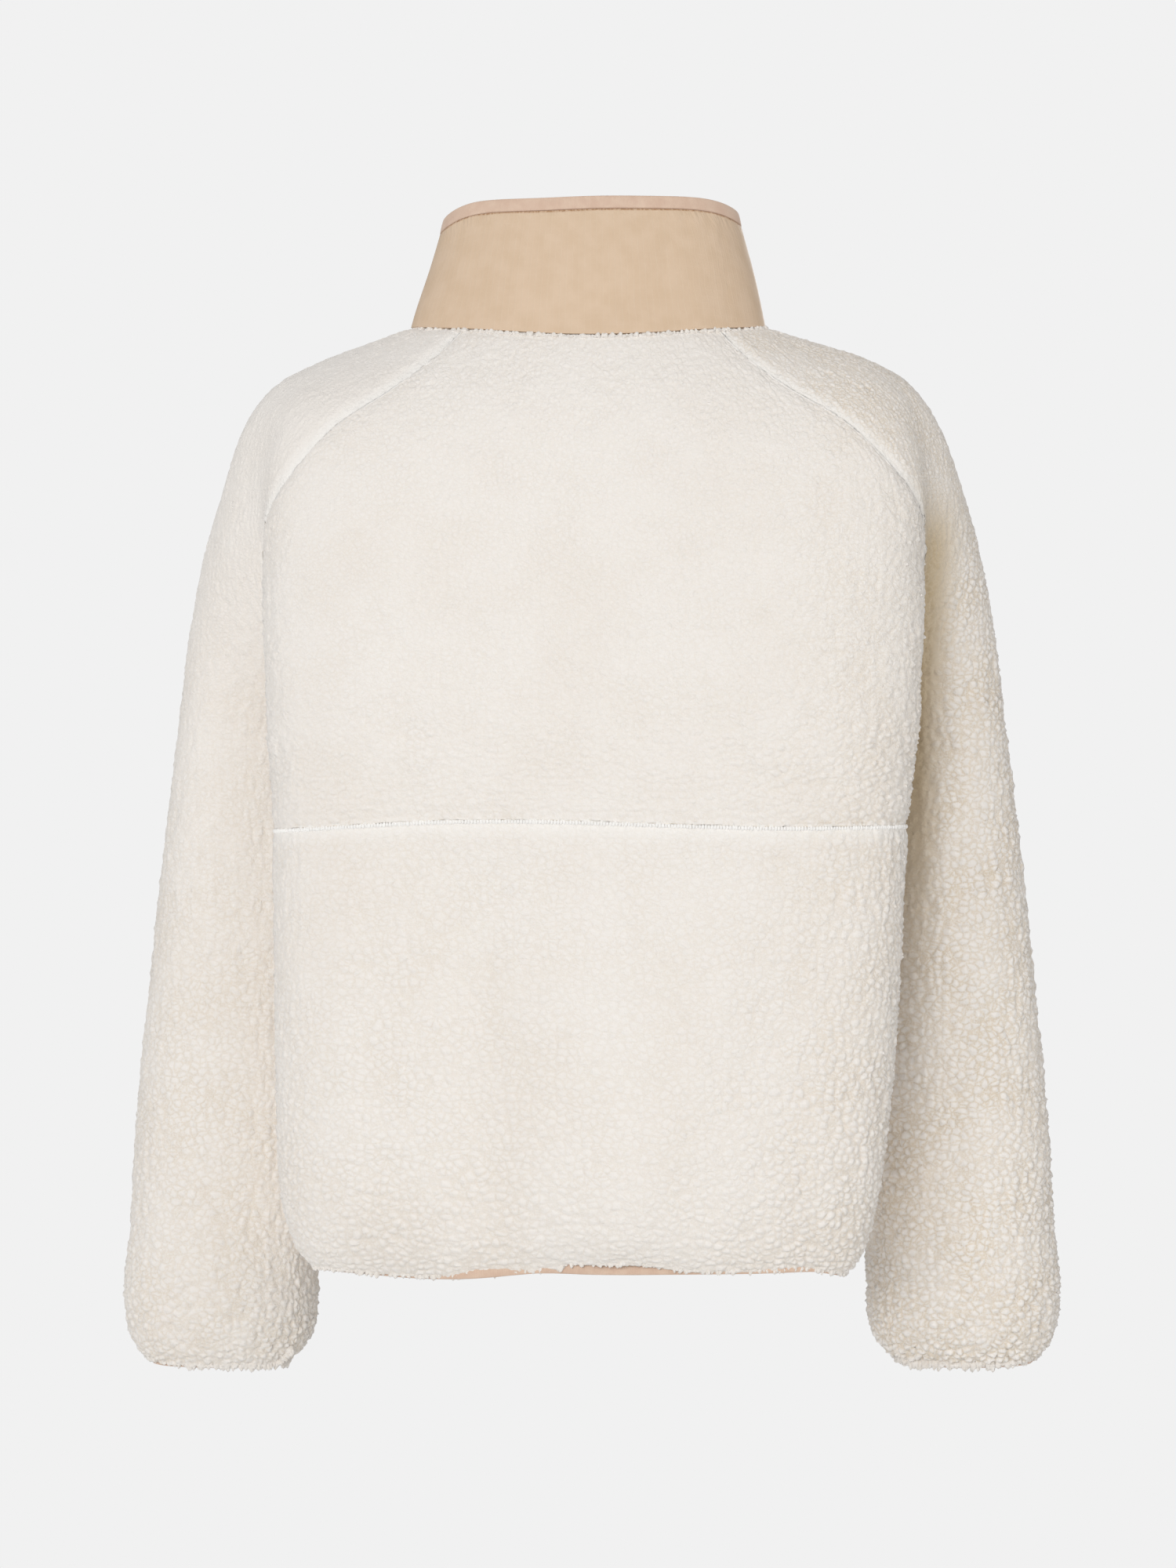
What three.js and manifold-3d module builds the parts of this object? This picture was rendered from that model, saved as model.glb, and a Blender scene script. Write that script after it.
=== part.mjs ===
// Women's raglan jacket in sherpa fleece, with a stand collar in ripstop nylon.
// It keeps the form it has when worn, with nobody in it: neck, hem and cuffs are open.
// Frame: millimetres, +Z up, the front faces -Y, +X is the wearer's left.
// The origin is the middle of the neck, at the level of the collar seam at centre back.
// Every cloth piece is a wall: an outer face on the jacket's skin and an inner face
// one cloth thickness inside it, with 0.3 mm between neighbours where they are sewn.
import * as THREE from "three";
import { mergeVertices } from "three/addons/utils/BufferGeometryUtils.js";
import Module from "manifold-3d";

const wasm = await Module();
wasm.setup();

// ---------------------------------------------------------------- driving dimensions
const FLEECE = 4.5; // knitted ground and pile together
const WOVEN = 1.8; // two layers of ripstop nylon
const ELASTIC = 2.6; // elastic tape folded round an edge
const SEAM_GAP = 0.3;
const RELAX_PASSES = 8;

const HEM_DROP = 583; // where the fleece ends, below the origin
const HEM_BINDING_HEIGHT = 6.4;
const CUFF_BINDING_HEIGHT = 7;
const COLLAR_HEIGHT_BACK = 74.5;
const COLLAR_BINDING_HEIGHT = 8.6;

const ZIP_HALF_WIDTH = 9; // from the middle of the zip to the edge of each front
const TAPE_EDGE = 8.7;
const TAPE_THICKNESS = 1.2;
const TAPE_RECESS = 1.6; // the tape lies this far below the pile
const SLIDER_BELOW_TOP = 14;

// Torso sections, a row for each depth below the origin: half widths to the wearer's left
// and right, the furthest reach of back and front, the place of the side fold from front
// to back, and how square the back half and the front half of the section are.
const TORSO = [
  { drop: -30, left: 62, right: 62, back: 50, front: -24, fold: -2, backBend: 2.0, frontBend: 2.0 },
  { drop: -6, left: 108, right: 108, back: 68, front: -42, fold: -2, backBend: 2.0, frontBend: 2.0 },
  { drop: 0, left: 118, right: 118, back: 72, front: -48, fold: -2, backBend: 2.0, frontBend: 2.0 },
  { drop: 12, left: 140, right: 140, back: 79, front: -58, fold: 1, backBend: 2.0, frontBend: 2.0 },
  { drop: 28, left: 168, right: 168, back: 87, front: -70, fold: 6, backBend: 2.0, frontBend: 1.9 },
  { drop: 50, left: 190, right: 190, back: 96, front: -86, fold: 16, backBend: 2.1, frontBend: 1.85 },
  { drop: 80, left: 203, right: 206, back: 104, front: -105, fold: 28, backBend: 2.25, frontBend: 1.8 },
  { drop: 119, left: 206, right: 211, back: 110, front: -120, fold: 38, backBend: 2.4, frontBend: 1.75 },
  { drop: 177, left: 207, right: 209, back: 114, front: -131, fold: 42, backBend: 2.5, frontBend: 1.7 },
  { drop: 239, left: 205, right: 206, back: 116, front: -136, fold: 44, backBend: 2.55, frontBend: 1.7 },
  { drop: 302, left: 202, right: 202, back: 116, front: -137, fold: 45, backBend: 2.6, frontBend: 1.7 },
  { drop: 385, left: 201, right: 198, back: 115, front: -136, fold: 45, backBend: 2.6, frontBend: 1.7 },
  { drop: 459, left: 200, right: 193, back: 113, front: -134, fold: 44, backBend: 2.55, frontBend: 1.7 },
  { drop: 535, left: 198, right: 185, back: 110, front: -131, fold: 42, backBend: 2.5, frontBend: 1.75 },
  { drop: 560, left: 195, right: 180, back: 106, front: -127, fold: 40, backBend: 2.4, frontBend: 1.8 },
  { drop: 573, left: 190, right: 174, back: 101, front: -121, fold: 38, backBend: 2.3, frontBend: 1.85 },
  { drop: 580, left: 183, right: 168, back: 96, front: -115, fold: 37, backBend: 2.2, frontBend: 1.9 },
  { drop: 583, left: 177, right: 163, back: 92, front: -111, fold: 36, backBend: 2.2, frontBend: 1.9 },
  { drop: 600, left: 165, right: 152, back: 84, front: -102, fold: 34, backBend: 2.2, frontBend: 1.9 },
];

// The left arm's tube from inside the neck to the cuff, a row for each place on its axis:
// the axis, the two half widths of the section, and the turn of the long one towards the back.
const ARM = [
  { at: 0, x: 30, y: -2, z: -46, long: 36, short: 36, turn: 0 },
  { at: 1, x: 75, y: -3, z: -45, long: 45, short: 45, turn: 0 },
  { at: 2, x: 116, y: -7, z: -51, long: 50, short: 50, turn: 0 },
  { at: 3, x: 148, y: -15, z: -67, long: 56, short: 56, turn: 0 },
  { at: 4, x: 168, y: -28, z: -94, long: 61, short: 61, turn: 0 },
  { at: 5, x: 177, y: -44, z: -131, long: 66, short: 66, turn: 10 },
  { at: 6, x: 186, y: -67, z: -171, long: 70, short: 61, turn: 28 },
  { at: 7, x: 197, y: -88, z: -215, long: 74, short: 51, turn: 42 },
  { at: 8, x: 205, y: -96, z: -265, long: 75, short: 50, turn: 46 },
  { at: 9, x: 213, y: -96, z: -334, long: 73, short: 54, turn: 44 },
  { at: 10, x: 221, y: -95, z: -413, long: 70, short: 56, turn: 36 },
  { at: 11, x: 232, y: -91, z: -516, long: 66, short: 56, turn: 22 },
  { at: 12, x: 238, y: -87, z: -600, long: 63, short: 56, turn: 6 },
  { at: 13, x: 239.5, y: -86, z: -632, long: 61.5, short: 55, turn: 0 },
  { at: 14, x: 240, y: -86, z: -648, long: 57.5, short: 51, turn: 0 },
  { at: 15, x: 240, y: -86, z: -657, long: 51, short: 46, turn: 0 },
  { at: 16, x: 240, y: -86, z: -662, long: 44, short: 40, turn: 0 },
];

// ---------------------------------------------------------------- tables as curves
// A smooth curve through one column of a table, which never overshoots its rows.
function through(table, axis, key) {
  const at = table.map((row) => row[axis]);
  const value = table.map((row) => row[key]);
  const last = at.length - 1;
  const rise = at.slice(1).map((next, i) => (value[i + 1] - value[i]) / (next - at[i]));
  const slope = at.map((_, i) => {
    if (i === 0) return rise[0];
    if (i === last) return rise[last - 1];
    const product = rise[i - 1] * rise[i];
    return product <= 0 ? 0 : (2 * product) / (rise[i - 1] + rise[i]);
  });
  return (place) => {
    if (place <= at[0]) return value[0] + slope[0] * (place - at[0]);
    if (place >= at[last]) return value[last] + slope[last] * (place - at[last]);
    let i = 0;
    while (place > at[i + 1]) i += 1;
    const width = at[i + 1] - at[i];
    const t = (place - at[i]) / width;
    const start = value[i] * (1 + 2 * t) * (1 - t) ** 2 + slope[i] * width * t * (1 - t) ** 2;
    const end = value[i + 1] * t * t * (3 - 2 * t) - slope[i + 1] * width * t * t * (1 - t);
    return start + end;
  };
}

// All columns of a table at once.
function curves(table, axis) {
  const found = {};
  for (const key of Object.keys(table[0])) {
    if (key !== axis) found[key] = through(table, axis, key);
  }
  return found;
}

function smoothstep(from, to, value) {
  const t = Math.min(Math.max((value - from) / (to - from), 0), 1);
  return t * t * (3 - 2 * t);
}

const torso = curves(TORSO, "drop");
const arm = curves(ARM, "at");
const ARM_END = ARM.length - 1;
const RADIAN = Math.PI / 180;

// ---------------------------------------------------------------- the jacket's skin
const SIDES = { left: 1, right: -1 };
const BLEND = 16; // how softly the arms run into the torso

// How far level with it a place lies outside the torso's section (negative inside).
function torsoGauge(drop, x, fromFold) {
  const half = x > 0 ? torso.left(drop) : torso.right(drop);
  const isBack = fromFold > 0;
  const depth = isBack ? torso.back(drop) - torso.fold(drop) : torso.fold(drop) - torso.front(drop);
  const bend = isBack ? torso.backBend(drop) : torso.frontBend(drop);
  return (Math.abs(x / half) ** bend + Math.abs(fromFold / depth) ** bend) ** (1 / bend);
}

function torsoField(p) {
  const drop = -p.z;
  const fromFold = p.y - torso.fold(drop);
  const reach = Math.hypot(p.x, fromFold);
  return reach - reach / Math.max(torsoGauge(drop, p.x, fromFold), 1e-4);
}

// The arm's axis at a place, with its direction and the two axes of its section.
function armCentre(at) {
  return new THREE.Vector3(arm.x(at), arm.y(at), arm.z(at));
}

function armFrame(at) {
  const step = 0.02;
  const centre = armCentre(at);
  const along = armCentre(at + step).sub(armCentre(at - step)).normalize();
  const towardsBack = new THREE.Vector3(0, 1, 0).addScaledVector(along, -along.y).normalize();
  const outward = new THREE.Vector3().crossVectors(along, towardsBack);
  const turn = arm.turn(at) * RADIAN;
  return { at, centre, along, towardsBack, outward, turn, long: arm.long(at), short: arm.short(at) };
}

const FRAME_STEP = 1 / 8;
const ARM_FRAMES = Array.from({ length: ARM_END / FRAME_STEP + 1 }, (_, i) => armFrame(i * FRAME_STEP));

// How far a point lies beyond the section at a place on the arm.
function beyond(p, at) {
  const step = 0.02;
  const along = armCentre(at + step).sub(armCentre(at - step));
  return p.clone().sub(armCentre(at)).dot(along);
}

// The arm's frame whose section holds a point of the left arm.
const FRAME_HALVINGS = 16;
function nearestFrame(p) {
  let best = ARM_FRAMES[0];
  for (const frame of ARM_FRAMES) {
    if (frame.centre.distanceToSquared(p) < best.centre.distanceToSquared(p)) best = frame;
  }
  let low = Math.max(best.at - FRAME_STEP, 0);
  let high = Math.min(best.at + FRAME_STEP, ARM_END);
  for (let i = 0; i < FRAME_HALVINGS; i += 1) {
    const middle = (low + high) / 2;
    if (beyond(p, middle) > 0) low = middle;
    else high = middle;
  }
  return armFrame((low + high) / 2);
}

function armGauge(frame, outward, back, ahead) {
  const longWay = outward * Math.cos(frame.turn) + back * Math.sin(frame.turn);
  const shortWay = back * Math.cos(frame.turn) - outward * Math.sin(frame.turn);
  return Math.hypot(longWay / frame.long, shortWay / frame.short, ahead / frame.short);
}

function armField(p, side) {
  const own = new THREE.Vector3(p.x * side, p.y, p.z);
  const frame = nearestFrame(own);
  const out = own.sub(frame.centre);
  const ahead = frame.at < ARM_END - FRAME_STEP ? out.dot(frame.along) : 0;
  const gauge = armGauge(frame, out.dot(frame.outward), out.dot(frame.towardsBack), ahead);
  return out.length() * (1 - 1 / Math.max(gauge, 1e-4));
}

// Arms and torso together, rounded where they meet.
function skinField(p) {
  const body = torsoField(p);
  const limb = armField(p, p.x < 0 ? SIDES.right : SIDES.left);
  const overlap = Math.max(BLEND - Math.abs(body - limb), 0);
  return Math.min(body, limb) - (overlap * overlap) / (4 * BLEND);
}

function gradient(field, p) {
  const step = 0.05;
  const slope = new THREE.Vector3();
  for (const axis of ["x", "y", "z"]) {
    const ahead = p.clone();
    const behind = p.clone();
    ahead[axis] += step;
    behind[axis] -= step;
    slope[axis] = (field(ahead) - field(behind)) / (2 * step);
  }
  return slope;
}

// Moves a point straight to the skin.
function settle(p, field) {
  const found = p.clone();
  for (let i = 0; i < 12; i += 1) {
    const slope = gradient(field, found);
    const move = field(found) / Math.max(slope.lengthSq(), 1e-6);
    const limit = 12 / Math.max(slope.length(), 1e-3);
    found.addScaledVector(slope, -Math.min(Math.max(move, -limit), limit));
  }
  return found;
}

// ---------------------------------------------------------------- seam lines
// Seams of the left half, a row for each place on the line; the right half mirrors them.
const BACK_RAGLAN = [
  { x: 95, y: 66, z: -14 },
  { x: 113.5, y: 70, z: -27 },
  { x: 132, y: 72, z: -42.5 },
  { x: 156.5, y: 72, z: -65 },
  { x: 178, y: 68, z: -86.5 },
  { x: 196, y: 54, z: -106 },
  { x: 204, y: 32, z: -123 },
  { x: 201, y: 14, z: -147 },
  { x: 194, y: 0, z: -181 },
  { x: 184, y: -20, z: -208 },
];
const FRONT_RAGLAN = [
  { x: 86, y: -66, z: -34 },
  { x: 102, y: -74, z: -58 },
  { x: 116, y: -80, z: -86 },
  { x: 123, y: -83, z: -118 },
  { x: 121, y: -87, z: -155 },
  { x: 125, y: -86, z: -195 },
  { x: 137, y: -76, z: -213 },
];
const SIDE_SEAM = [
  { drop: 226, y: -54 },
  { drop: 260, y: -48 },
  { drop: 312, y: -38 },
  { drop: 400, y: -30 },
  { drop: 500, y: -24 },
  { drop: 590, y: -18 },
];
// How the seam between the back panels waves, from the wearer's right to the left.
const BACK_SEAM = [
  { x: -205, drop: 311 },
  { x: -124, drop: 312 },
  { x: -43, drop: 310 },
  { x: 40, drop: 307.5 },
  { x: 80, drop: 307.5 },
  { x: 150, drop: 311 },
  { x: 200, drop: 314 },
];

const NECK_AXIS_Y = -2;
const NECK_SIDE_DROP = -4;
const NECK_FRONT_DROP = 46;
const NECK_BACK_RAGLAN = 58; // degrees round the neck from centre back
const NECK_FRONT_RAGLAN = 128;

const RAGLAN_ROWS = 10;
const UPPER_ROWS = 4;
const LOWER_ROWS = 8;
const SLEEVE_ROWS = 13;
const BACK_COLUMNS = 22;
const FRONT_COLUMNS = 9;
const SLEEVE_COLUMNS = 18;
const EASE = 1.6; // rows crowd towards the hem and the cuff

const sideSeamY = through(SIDE_SEAM, "drop", "y");
const backSeamDrop = through(BACK_SEAM, "x", "drop");

function spread(count) {
  return Array.from({ length: count + 1 }, (_, i) => i / count);
}

function crowded(count) {
  return spread(count).map((share) => 1 - (1 - share) ** EASE);
}

// The torso's outline at one height, met in a direction from its fold axis.
function torsoPoint(drop, angle) {
  const x = Math.cos(angle);
  const y = Math.sin(angle);
  const reach = 1 / torsoGauge(drop, x, y);
  return new THREE.Vector3(x * reach, y * reach + torso.fold(drop), -drop);
}

// The torso's front half at one height, at a distance from its middle.
function frontPoint(drop, x) {
  const half = x > 0 ? torso.left(drop) : torso.right(drop);
  const depth = torso.fold(drop) - torso.front(drop);
  const bend = torso.frontBend(drop);
  const y = torso.fold(drop) - depth * (1 - Math.abs(x / half) ** bend) ** (1 / bend);
  return new THREE.Vector3(x, y, -drop);
}

// The torso's front half at one height, at a place from front to back.
function sidePoint(drop, y, side) {
  const half = side > 0 ? torso.left(drop) : torso.right(drop);
  const depth = torso.fold(drop) - torso.front(drop);
  const bend = torso.frontBend(drop);
  const x = half * (1 - ((torso.fold(drop) - y) / depth) ** bend) ** (1 / bend);
  return new THREE.Vector3(side * x, y, -drop);
}

function neckDrop(degrees) {
  const turn = Math.abs(degrees) * RADIAN;
  if (turn < Math.PI / 2) return NECK_SIDE_DROP * Math.sin(turn) ** 2;
  return NECK_SIDE_DROP + (NECK_FRONT_DROP - NECK_SIDE_DROP) * Math.cos(turn) ** 2;
}

// The collar seam, an angle from centre back, positive to the wearer's left.
function neckPoint(degrees) {
  const drop = neckDrop(degrees);
  const turn = degrees * RADIAN;
  let low = 0;
  let high = 160;
  for (let i = 0; i < 40; i += 1) {
    const reach = (low + high) / 2;
    const x = reach * Math.sin(turn);
    const y = NECK_AXIS_Y + reach * Math.cos(turn);
    if (torsoField(new THREE.Vector3(x, y, -drop)) < 0) low = reach;
    else high = reach;
  }
  const found = new THREE.Vector3(low * Math.sin(turn), NECK_AXIS_Y + low * Math.cos(turn), -drop);
  return settle(found, skinField);
}

function neckArc(from, to, columns) {
  return spread(columns).map((share) => neckPoint(from + (to - from) * share));
}

// The crotch of the armhole: the lowest point where the skin bridges arm and torso.
function underarmPoint(side) {
  let lowest = null;
  for (const at of spread(100).map((share) => 6.5 + 2 * share)) {
    for (const angle of spread(100).map((share) => (100 + 140 * share) * RADIAN)) {
      const p = armPoint(side)(at, angle);
      if (torsoField(p) < BLEND / 2 && (!lowest || p.z < lowest.z)) lowest = p;
    }
  }
  const towardsTorso = gradient(torsoField, lowest).normalize();
  return settle(lowest.addScaledVector(towardsTorso, -BLEND / 4), skinField);
}

// Below the shoulder the seam lies in the valley between arm and torso.
const VALLEY_FROM = -116;
const VALLEY_ROUNDS = 6;
function settleSeam(p, side) {
  const between = (q) => torsoField(q) - armField(q, side);
  let found = settle(p, skinField);
  for (let i = 0; i < VALLEY_ROUNDS && p.z < VALLEY_FROM; i += 1) {
    found = settle(settle(found, between), skinField);
  }
  return found;
}

// Points evenly along a seam given by its rows, brought onto the skin.
function alongSeam(start, rows, end, side, count) {
  const line = rows.map((row) => new THREE.Vector3(side * row.x, row.y, row.z));
  const curve = new THREE.CatmullRomCurve3([start, ...line, end], false, "centripetal");
  return curve.getSpacedPoints(count).map((p, i) => (i === 0 || i === count ? p : settleSeam(p, side)));
}

// ---------------------------------------------------------------- folds
// Soft folds pushed into the skin, a row for each: its middle, its half length and half
// width, how far it stands out (negative is a trough), how its lower end leans to +X, and
// whether it lies on the back or the front of the cloth it is in.
const FOLDS = [
  { x: 64, z: -455, length: 105, width: 30, depth: -3.6, lean: -2, face: "back" },
  { x: 28, z: -560, length: 48, width: 17, depth: -5, lean: -8, face: "back" },
  { x: -14, z: -535, length: 45, width: 20, depth: 3.4, lean: 24, face: "back" },
  { x: 158, z: -480, length: 80, width: 22, depth: 2.2, lean: -4, face: "back" },
  { x: -110, z: -500, length: 70, width: 26, depth: 2, lean: 6, face: "back" },
  { x: 219, z: -345, length: 42, width: 9, depth: -3, lean: 10, face: "back" },
  { x: -222, z: -350, length: 50, width: 13, depth: 3, lean: 8, face: "back" },
  { x: 270, z: -628, length: 24, width: 8, depth: -3.5, lean: -22, face: "back" },
  { x: 60, z: -180, length: 70, width: 20, depth: -2.6, lean: -20, face: "front" },
  { x: -66, z: -200, length: 60, width: 22, depth: -2.8, lean: 16, face: "front" },
  { x: 48, z: -520, length: 60, width: 20, depth: -3.4, lean: 5, face: "front" },
  { x: -84, z: -500, length: 70, width: 22, depth: 3, lean: -6, face: "front" },
  { x: 196, z: -380, length: 60, width: 15, depth: -3, lean: 6, face: "front" },
  { x: -205, z: -400, length: 55, width: 14, depth: -3.2, lean: -8, face: "front" },
];

function foldHeight(p, normal) {
  let height = 0;
  for (const fold of FOLDS) {
    const facing = fold.face === "back" ? normal.y : -normal.y;
    const lean = fold.lean * RADIAN;
    const right = p.x - fold.x;
    const down = fold.z - p.z;
    const along = down * Math.cos(lean) + right * Math.sin(lean);
    const across = right * Math.cos(lean) - down * Math.sin(lean);
    const shape = Math.exp(-((along / fold.length) ** 2) - (across / fold.width) ** 2);
    height += fold.depth * shape * smoothstep(0, 0.5, facing);
  }
  return height;
}

// ---------------------------------------------------------------- walls of cloth
// Straight-line mixing of two points, or of two pairs of numbers.
const mixPoints = (a, b, share) => a.clone().lerp(b, share);
const mixPlaces = (a, b, share) => a.map((value, i) => value + (b[i] - value) * share);

// Fills a grid between its four borders (top and bottom from left to right, left and
// right from top to bottom) by Coons' rule.
function fill(borders, across, mix, add, subtract) {
  const { top, bottom, left, right } = borders;
  const rows = left.length - 1;
  const columns = top.length - 1;
  return spread(rows).map((v, i) =>
    across.map((u, j) => {
      const lengthways = mix(top[j], bottom[j], v);
      const sideways = mix(left[i], right[i], u);
      const upper = mix(top[0], top[columns], u);
      const lower = mix(bottom[0], bottom[columns], u);
      return subtract(add(lengthways, sideways), mix(upper, lower, v));
    }),
  );
}

const addPlaces = (a, b) => a.map((value, i) => value + b[i]);
const subtractPlaces = (a, b) => a.map((value, i) => value - b[i]);
const addPoints = (a, b) => a.add(b);
const subtractPoints = (a, b) => a.sub(b);
const fillPlaces = (borders, across) => fill(borders, across, mixPlaces, addPlaces, subtractPlaces);
const fillPoints = (borders, across) => fill(borders, across, mixPoints, addPoints, subtractPoints);

// How far along a line each of its points lies, as a share of the whole.
function lengthShares(line) {
  const lengths = [0];
  for (let i = 1; i < line.length; i += 1) lengths.push(lengths[i - 1] + line[i].distanceTo(line[i - 1]));
  return lengths.map((length) => length / lengths[lengths.length - 1]);
}

// Evens a grid out: each inner point goes in between its four neighbours, as the borders
// are divided, and back onto the skin.
function relax(grid, across) {
  const sides = [0, across.length - 1].map((j) => lengthShares(grid.map((row) => row[j])));
  const down = sides[0].map((share, i) => (share + sides[1][i]) / 2);
  const between = (before, after, shares, k) =>
    mixPoints(before, after, (shares[k] - shares[k - 1]) / (shares[k + 1] - shares[k - 1]));
  return grid.map((row, i) =>
    row.map((p, j) => {
      if (i === 0 || j === 0 || i === grid.length - 1 || j === row.length - 1) return p;
      const sideways = between(row[j - 1], row[j + 1], across, j);
      const lengthways = between(grid[i - 1][j], grid[i + 1][j], down, i);
      return settle(mixPoints(sideways, lengthways, 0.5), skinField);
    }),
  );
}

// A grid of skin points between borders. Each border point has a place in the form's own
// two coordinates; the inside is laid out in those, settled on the skin and evened out.
function panelGrid(borders, places, across, formPoint) {
  const strayed = {};
  for (const key of Object.keys(borders)) {
    strayed[key] = borders[key].map((p, i) => p.clone().sub(formPoint(...places[key][i])));
  }
  const inner = fillPlaces(places, across);
  const stray = fillPoints(strayed, across);
  const lastRow = inner.length - 1;
  const lastColumn = across.length - 1;
  let grid = inner.map((row, i) =>
    row.map((place, j) => {
      if (i === 0) return borders.top[j].clone();
      if (i === lastRow) return borders.bottom[j].clone();
      if (j === 0) return borders.left[i].clone();
      if (j === lastColumn) return borders.right[i].clone();
      return settle(formPoint(...place).add(stray[i][j]), skinField);
    }),
  );
  for (let pass = 0; pass < RELAX_PASSES; pass += 1) grid = relax(grid, across);
  return grid;
}

// Draws a grid's edge in by half a seam gap, square to the edge and along the cloth.
function drawIn(grid, normals, edge, by) {
  const rows = grid.length - 1;
  const columns = grid[0].length - 1;
  const isRow = edge === "top" || edge === "bottom";
  const count = isRow ? columns : rows;
  const far = edge === "bottom" ? rows : columns;
  const at = (k, depth) => {
    const place = edge === "top" || edge === "left" ? depth : far - depth;
    return isRow ? [place, k] : [k, place];
  };
  const pick = (from, [i, j]) => from[i][j];
  return spread(count).map((_, k) => {
    const own = pick(grid, at(k, 0));
    const tangent = pick(grid, at(Math.min(k + 1, count), 0)).clone();
    tangent.sub(pick(grid, at(Math.max(k - 1, 0), 0)));
    const inward = new THREE.Vector3().crossVectors(pick(normals, at(k, 0)), tangent).normalize();
    const inside = pick(grid, at(k, 1)).clone().sub(own);
    if (inward.dot(inside) < 0) inward.negate();
    return { place: at(k, 0), move: inward.multiplyScalar(by) };
  });
}

// A closed wall from a grid of outer points with their normals.
function wall(grid, normals, thickness, drawn) {
  const outer = grid.map((row) => row.map((p) => p.clone()));
  for (const [edge, by] of Object.entries(drawn)) {
    for (const { place, move } of drawIn(grid, normals, edge, by)) outer[place[0]][place[1]].add(move);
  }
  const rows = grid.length;
  const columns = grid[0].length;
  const corners = [];
  for (const depth of [0, thickness]) {
    outer.forEach((row, i) =>
      row.forEach((p, j) => corners.push(p.clone().addScaledVector(normals[i][j], -depth))),
    );
  }
  const faces = [];
  const quad = (a, b, c, d) => faces.push(a, b, c, a, c, d);
  const outside = (i, j) => i * columns + j;
  const inside = (i, j) => rows * columns + i * columns + j;
  // Each cell is split along its shorter diagonal, so that facets follow the folds.
  for (let i = 0; i < rows - 1; i += 1) {
    for (let j = 0; j < columns - 1; j += 1) {
      const cell = [[i, j], [i + 1, j], [i + 1, j + 1], [i, j + 1]];
      const span = (a, b) => outer[cell[a][0]][cell[a][1]].distanceTo(outer[cell[b][0]][cell[b][1]]);
      if (span(1, 3) < span(0, 2)) cell.push(cell.shift());
      const [a, b, c, d] = cell;
      quad(outside(...a), outside(...b), outside(...c), outside(...d));
      quad(inside(...a), inside(...d), inside(...c), inside(...b));
    }
  }
  // Rim faces are split the same way on both sides of a seam, so that they stay apart.
  const foot = rows - 1;
  const end = columns - 1;
  for (let j = 0; j < end; j += 1) {
    quad(outside(0, j + 1), inside(0, j + 1), inside(0, j), outside(0, j));
    quad(outside(foot, j + 1), outside(foot, j), inside(foot, j), inside(foot, j + 1));
  }
  for (let i = 0; i < foot; i += 1) {
    quad(outside(i + 1, 0), outside(i, 0), inside(i, 0), inside(i + 1, 0));
    quad(outside(i + 1, end), inside(i + 1, end), inside(i, end), outside(i, end));
  }
  // The grid may run either way round, so the faces are turned outwards at the end.
  const [i, j] = [rows >> 1, columns >> 1];
  const facing = new THREE.Vector3().crossVectors(
    outer[i - 1][j].clone().sub(outer[i][j]),
    outer[i][j - 1].clone().sub(outer[i][j]),
  );
  if (facing.dot(normals[i][j]) < 0) {
    for (let k = 0; k < faces.length; k += 3) [faces[k + 1], faces[k + 2]] = [faces[k + 2], faces[k + 1]];
  }
  const geometry = new THREE.BufferGeometry();
  const positions = corners.flatMap((p) => p.toArray());
  geometry.setAttribute("position", new THREE.Float32BufferAttribute(positions, 3));
  geometry.setIndex(faces);
  geometry.computeVertexNormals();
  return geometry;
}

// A fleece panel: settled grid, folds pushed in, then the wall.
function fleecePanel(borders, places, across, formPoint, drawn) {
  const flat = panelGrid(borders, places, across, formPoint);
  const normals = flat.map((row) => row.map((p) => gradient(skinField, p).normalize()));
  const grid = flat.map((row, i) =>
    row.map((p, j) => p.clone().addScaledVector(normals[i][j], foldHeight(p, normals[i][j]))),
  );
  return { grid, normals, geometry: wall(grid, normals, FLEECE, drawn) };
}

const HALF_GAP = SEAM_GAP / 2;
const mapBorders = (borders, change) =>
  Object.fromEntries(Object.entries(borders).map(([key, points]) => [key, points.map(change)]));

// ---------------------------------------------------------------- body panels
const FRONT_EDGE = ZIP_HALF_WIDTH + HALF_GAP;
const frontNeckAngle = 180 - Math.asin(FRONT_EDGE / -torso.front(NECK_FRONT_DROP)) / RADIAN;

// A place round the torso: its depth and its direction from the fold axis, which runs
// from the left front, over the left side, the back and the right side, to the right front.
function torsoPlace(p) {
  const angle = Math.atan2(p.y - torso.fold(-p.z), p.x);
  return [-p.z, angle < -Math.PI / 2 ? angle + 2 * Math.PI : angle];
}

// Points along the torso's outline between two others, at given shares of its length.
function torsoArc(first, last, shares, dropAt) {
  const from = torsoPlace(first)[1];
  const to = torsoPlace(last)[1];
  const fine = spread(240).map((share) => {
    const angle = from + (to - from) * share;
    const guess = torsoPoint(dropAt(first), angle);
    return torsoPoint(dropAt(guess), angle);
  });
  const lengths = [0];
  for (let i = 1; i < fine.length; i += 1) lengths.push(lengths[i - 1] + fine[i].distanceTo(fine[i - 1]));
  return shares.map((share, k) => {
    if (k === 0) return first;
    if (k === shares.length - 1) return last;
    const target = share * lengths[fine.length - 1];
    const i = lengths.findIndex((length) => length >= target);
    return fine[i].clone();
  });
}

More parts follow.
